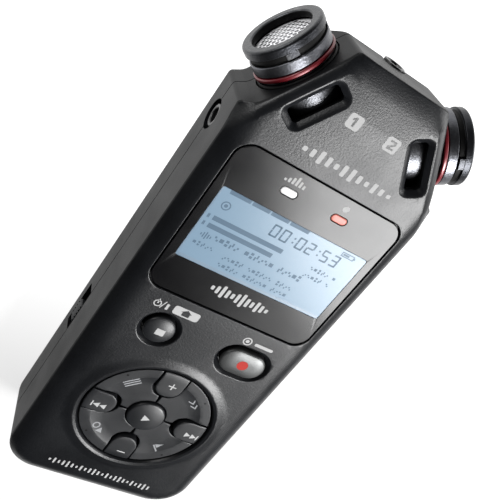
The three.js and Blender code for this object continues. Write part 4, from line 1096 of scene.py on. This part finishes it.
grooves = [[(-7, y + d), (7, y + d)] for y in GROOVE_YS for d in (-0.56, -0.21, 0.21, 0.56)]
v, f = relief(rect(0, 35.1, 34, 67.8, 0.5), hatch_height, 1.5, rim=0.15,
              features=[box(-7.0, 11.5, 7.0, 20.6), box(-7.05, 11.4, 7.05, 20.7)],
              lines=grooves + [[(-17, y), (17, y)] for y in (1.3, 1.6, 2.0, 2.5, 3.1, 3.8, 4.3)])
stand_in(link("battery_hatch", v, f, M_CASE), "battery_cover", "battery_cover")

for side, label in ((-1, "left"), (1, "right")):
    turned_piece(f"cell_{label}", [(0, 0), (2.7, 0), (2.7, 1), (6.2, 1.15), (7, 1.5), (7, 49.8),
                                   (6.3, 50.2), (0, 50.2)],
                 [M_CELL, M_STEEL], y_basis(side * 7.3, 12, 8.75), f"battery_{label}",
                 n=64, r=0.3, paint=lambda r, z: 1 if z < 1.3 or z > 50.1 else 0,
                 body=BODY_OF[f"battery_{label}"])

turned_piece("speaker_cone", [(0, 3.4), (4.5, 3.5), (5.6, 3.3), (6.4, 2.9), (8, 2.9), (8, 4.5),
                              (4.8, 6.5), (0, 6.5)],
             M_BLACK, Matrix.Translation((0, SPEAKER_Y, 0)), "speaker", n=64)
for i, (x, y) in enumerate(SCREWS):
    v, f = lathe(soft([(0, 5), (1.9, 5), (1.9, 6.2), (1.0, 6.2), (1.0, 17), (0, 17)], 0.15), 40)
    screw = link(f"screw_{i + 1}", v, f, M_STEEL, matrix=Matrix.Translation((x, y, 0)))
    boolean(screw, [box_cutter(x - a, x + a, y - b, y + b, 4, 5.7) for a, b in ((1.2, 0.22), (0.22, 1.2))])
    stand_in(screw, f"case_screw_{i + 1}")

nut = prism(circle(0, 0, 5.2, 6), 2.9, 9.0, matrix=at_nut)
nut.name = "tripod_bush"
nut.data.materials.append(M_BRASS)
thread = [(0, 2.0)]
for k in range(8):
    thread += [(3.2, 2.6 + k * 0.7), (2.95, 2.95 + k * 0.7)]
thread.append((0, 8.0))
v, f = lathe(thread, 64)
boolean(nut, [link("cutter", v, f, [], matrix=at_nut)])
stand_in(nut, "tripod_nut")

CARRIED = {
    "key_mat": M_RUBBER, "main_board": M_BOARD, "card_socket": M_STEEL, "usb_socket": M_STEEL,
    "contact_plate": M_STEEL, "contact_spring_left": M_STEEL, "contact_spring_right": M_STEEL,
}
for node, mat in CARRIED.items():
    for s in frame["nodes"][node].material_slots:
        s.material = mat

# ---------- studio, in metres ----------

M_FLOOR = surface("floor_paper", 0x707070, 0.9, bump=0.05, vary=0.01, mottle=8, emission=4.4, specular=0.1)
floor_tree = M_FLOOR.node_tree
# Painted light: the floor's even glow rises to a pool beside the head's left side, a painted pool of light
# that the case side near the jack reflects
pool_reach = add_node(floor_tree, "VectorMath")
pool_reach.operation = "DISTANCE"
pool_reach.inputs[1].default_value = (-0.045, 0.065, 0)  # the middle of the pool of light painted on the floor
floor_tree.links.new(floor_tree.nodes["Texture Coordinate"].outputs["Object"], pool_reach.inputs[0])
painted_light_pool = add_node(floor_tree, "MapRange", Value=pool_reach.outputs["Value"], From_Min=0.0, From_Max=0.16,
                To_Min=9.5, To_Max=4.2)
painted_light_pool.interpolation_type = "SMOOTHSTEP"
feed(floor_tree.nodes["Principled BSDF"], Emission_Strength=painted_light_pool.outputs["Result"])
floor_data = bpy.data.meshes.new("floor")
floor_data.from_pydata([(x, y, -0.0001) for x, y in box(-20, -20, 20, 20)], [], [(0, 1, 2, 3)])
floor_data.materials.append(M_FLOOR)
floor = bpy.data.objects.new("floor", floor_data)
bpy.context.scene.collection.objects.link(floor)

# round area lights: where each is, what it is aimed at, its size and its power
for name, at, aim, size, power in (
        ("key_light", (0.3, -0.08, 0.4), (0, 0.01, 0.02), 0.25, 6.9),
        ("top_light", (0.1, -0.1, 1.3), (0, 0, 0), 1.0, 0.6),
        ("tail_light", (0.31, -0.32, 0.42), (0.0, -0.03, 0.02), 0.18, 0.47),
        ("left_light", (-0.22, 0.14, 0.08), (-0.05, 0.06, 0), 0.1, 0.35),
        ("side_light", (0.33, 0.18, 0.1), (-0.02, 0.05, 0.015), 0.24, 1.1)):
    light = bpy.data.lights.new(name, "AREA")
    light.shape, light.size, light.energy = "DISK", size, power
    ob = bpy.data.objects.new(name, light)
    ob.location = at
    ob.rotation_euler = (Vector(aim) - Vector(at)).to_track_quat("-Z", "Y").to_euler()
    bpy.context.scene.collection.objects.link(ob)

world = bpy.data.worlds.new("studio")
world.use_nodes = True
feed(world.node_tree.nodes["Background"], Color=(1, 1, 1, 1), Strength=0.04)
bpy.context.scene.world = world
bpy.context.scene.view_settings.view_transform = "Standard"
bpy.context.scene.view_settings.look = "None"

camera_data = bpy.data.cameras.new("camera")
camera_data.lens, camera_data.sensor_width = 53.19, 36
camera_data.shift_x, camera_data.shift_y = -0.06, 0.045
camera_data.clip_start, camera_data.clip_end = 0.01, 20
camera = bpy.data.objects.new("camera", camera_data)
right, up = Vector((0.812531, 0.567732, 0.132187)), Vector((-0.392011, 0.700022, -0.596906))
camera.matrix_world = basis(right, up, right.cross(up), (-0.07236, 0.09191, 0.16067))
bpy.context.scene.collection.objects.link(camera)
bpy.context.scene.camera = camera

bpy.context.view_layer.update()
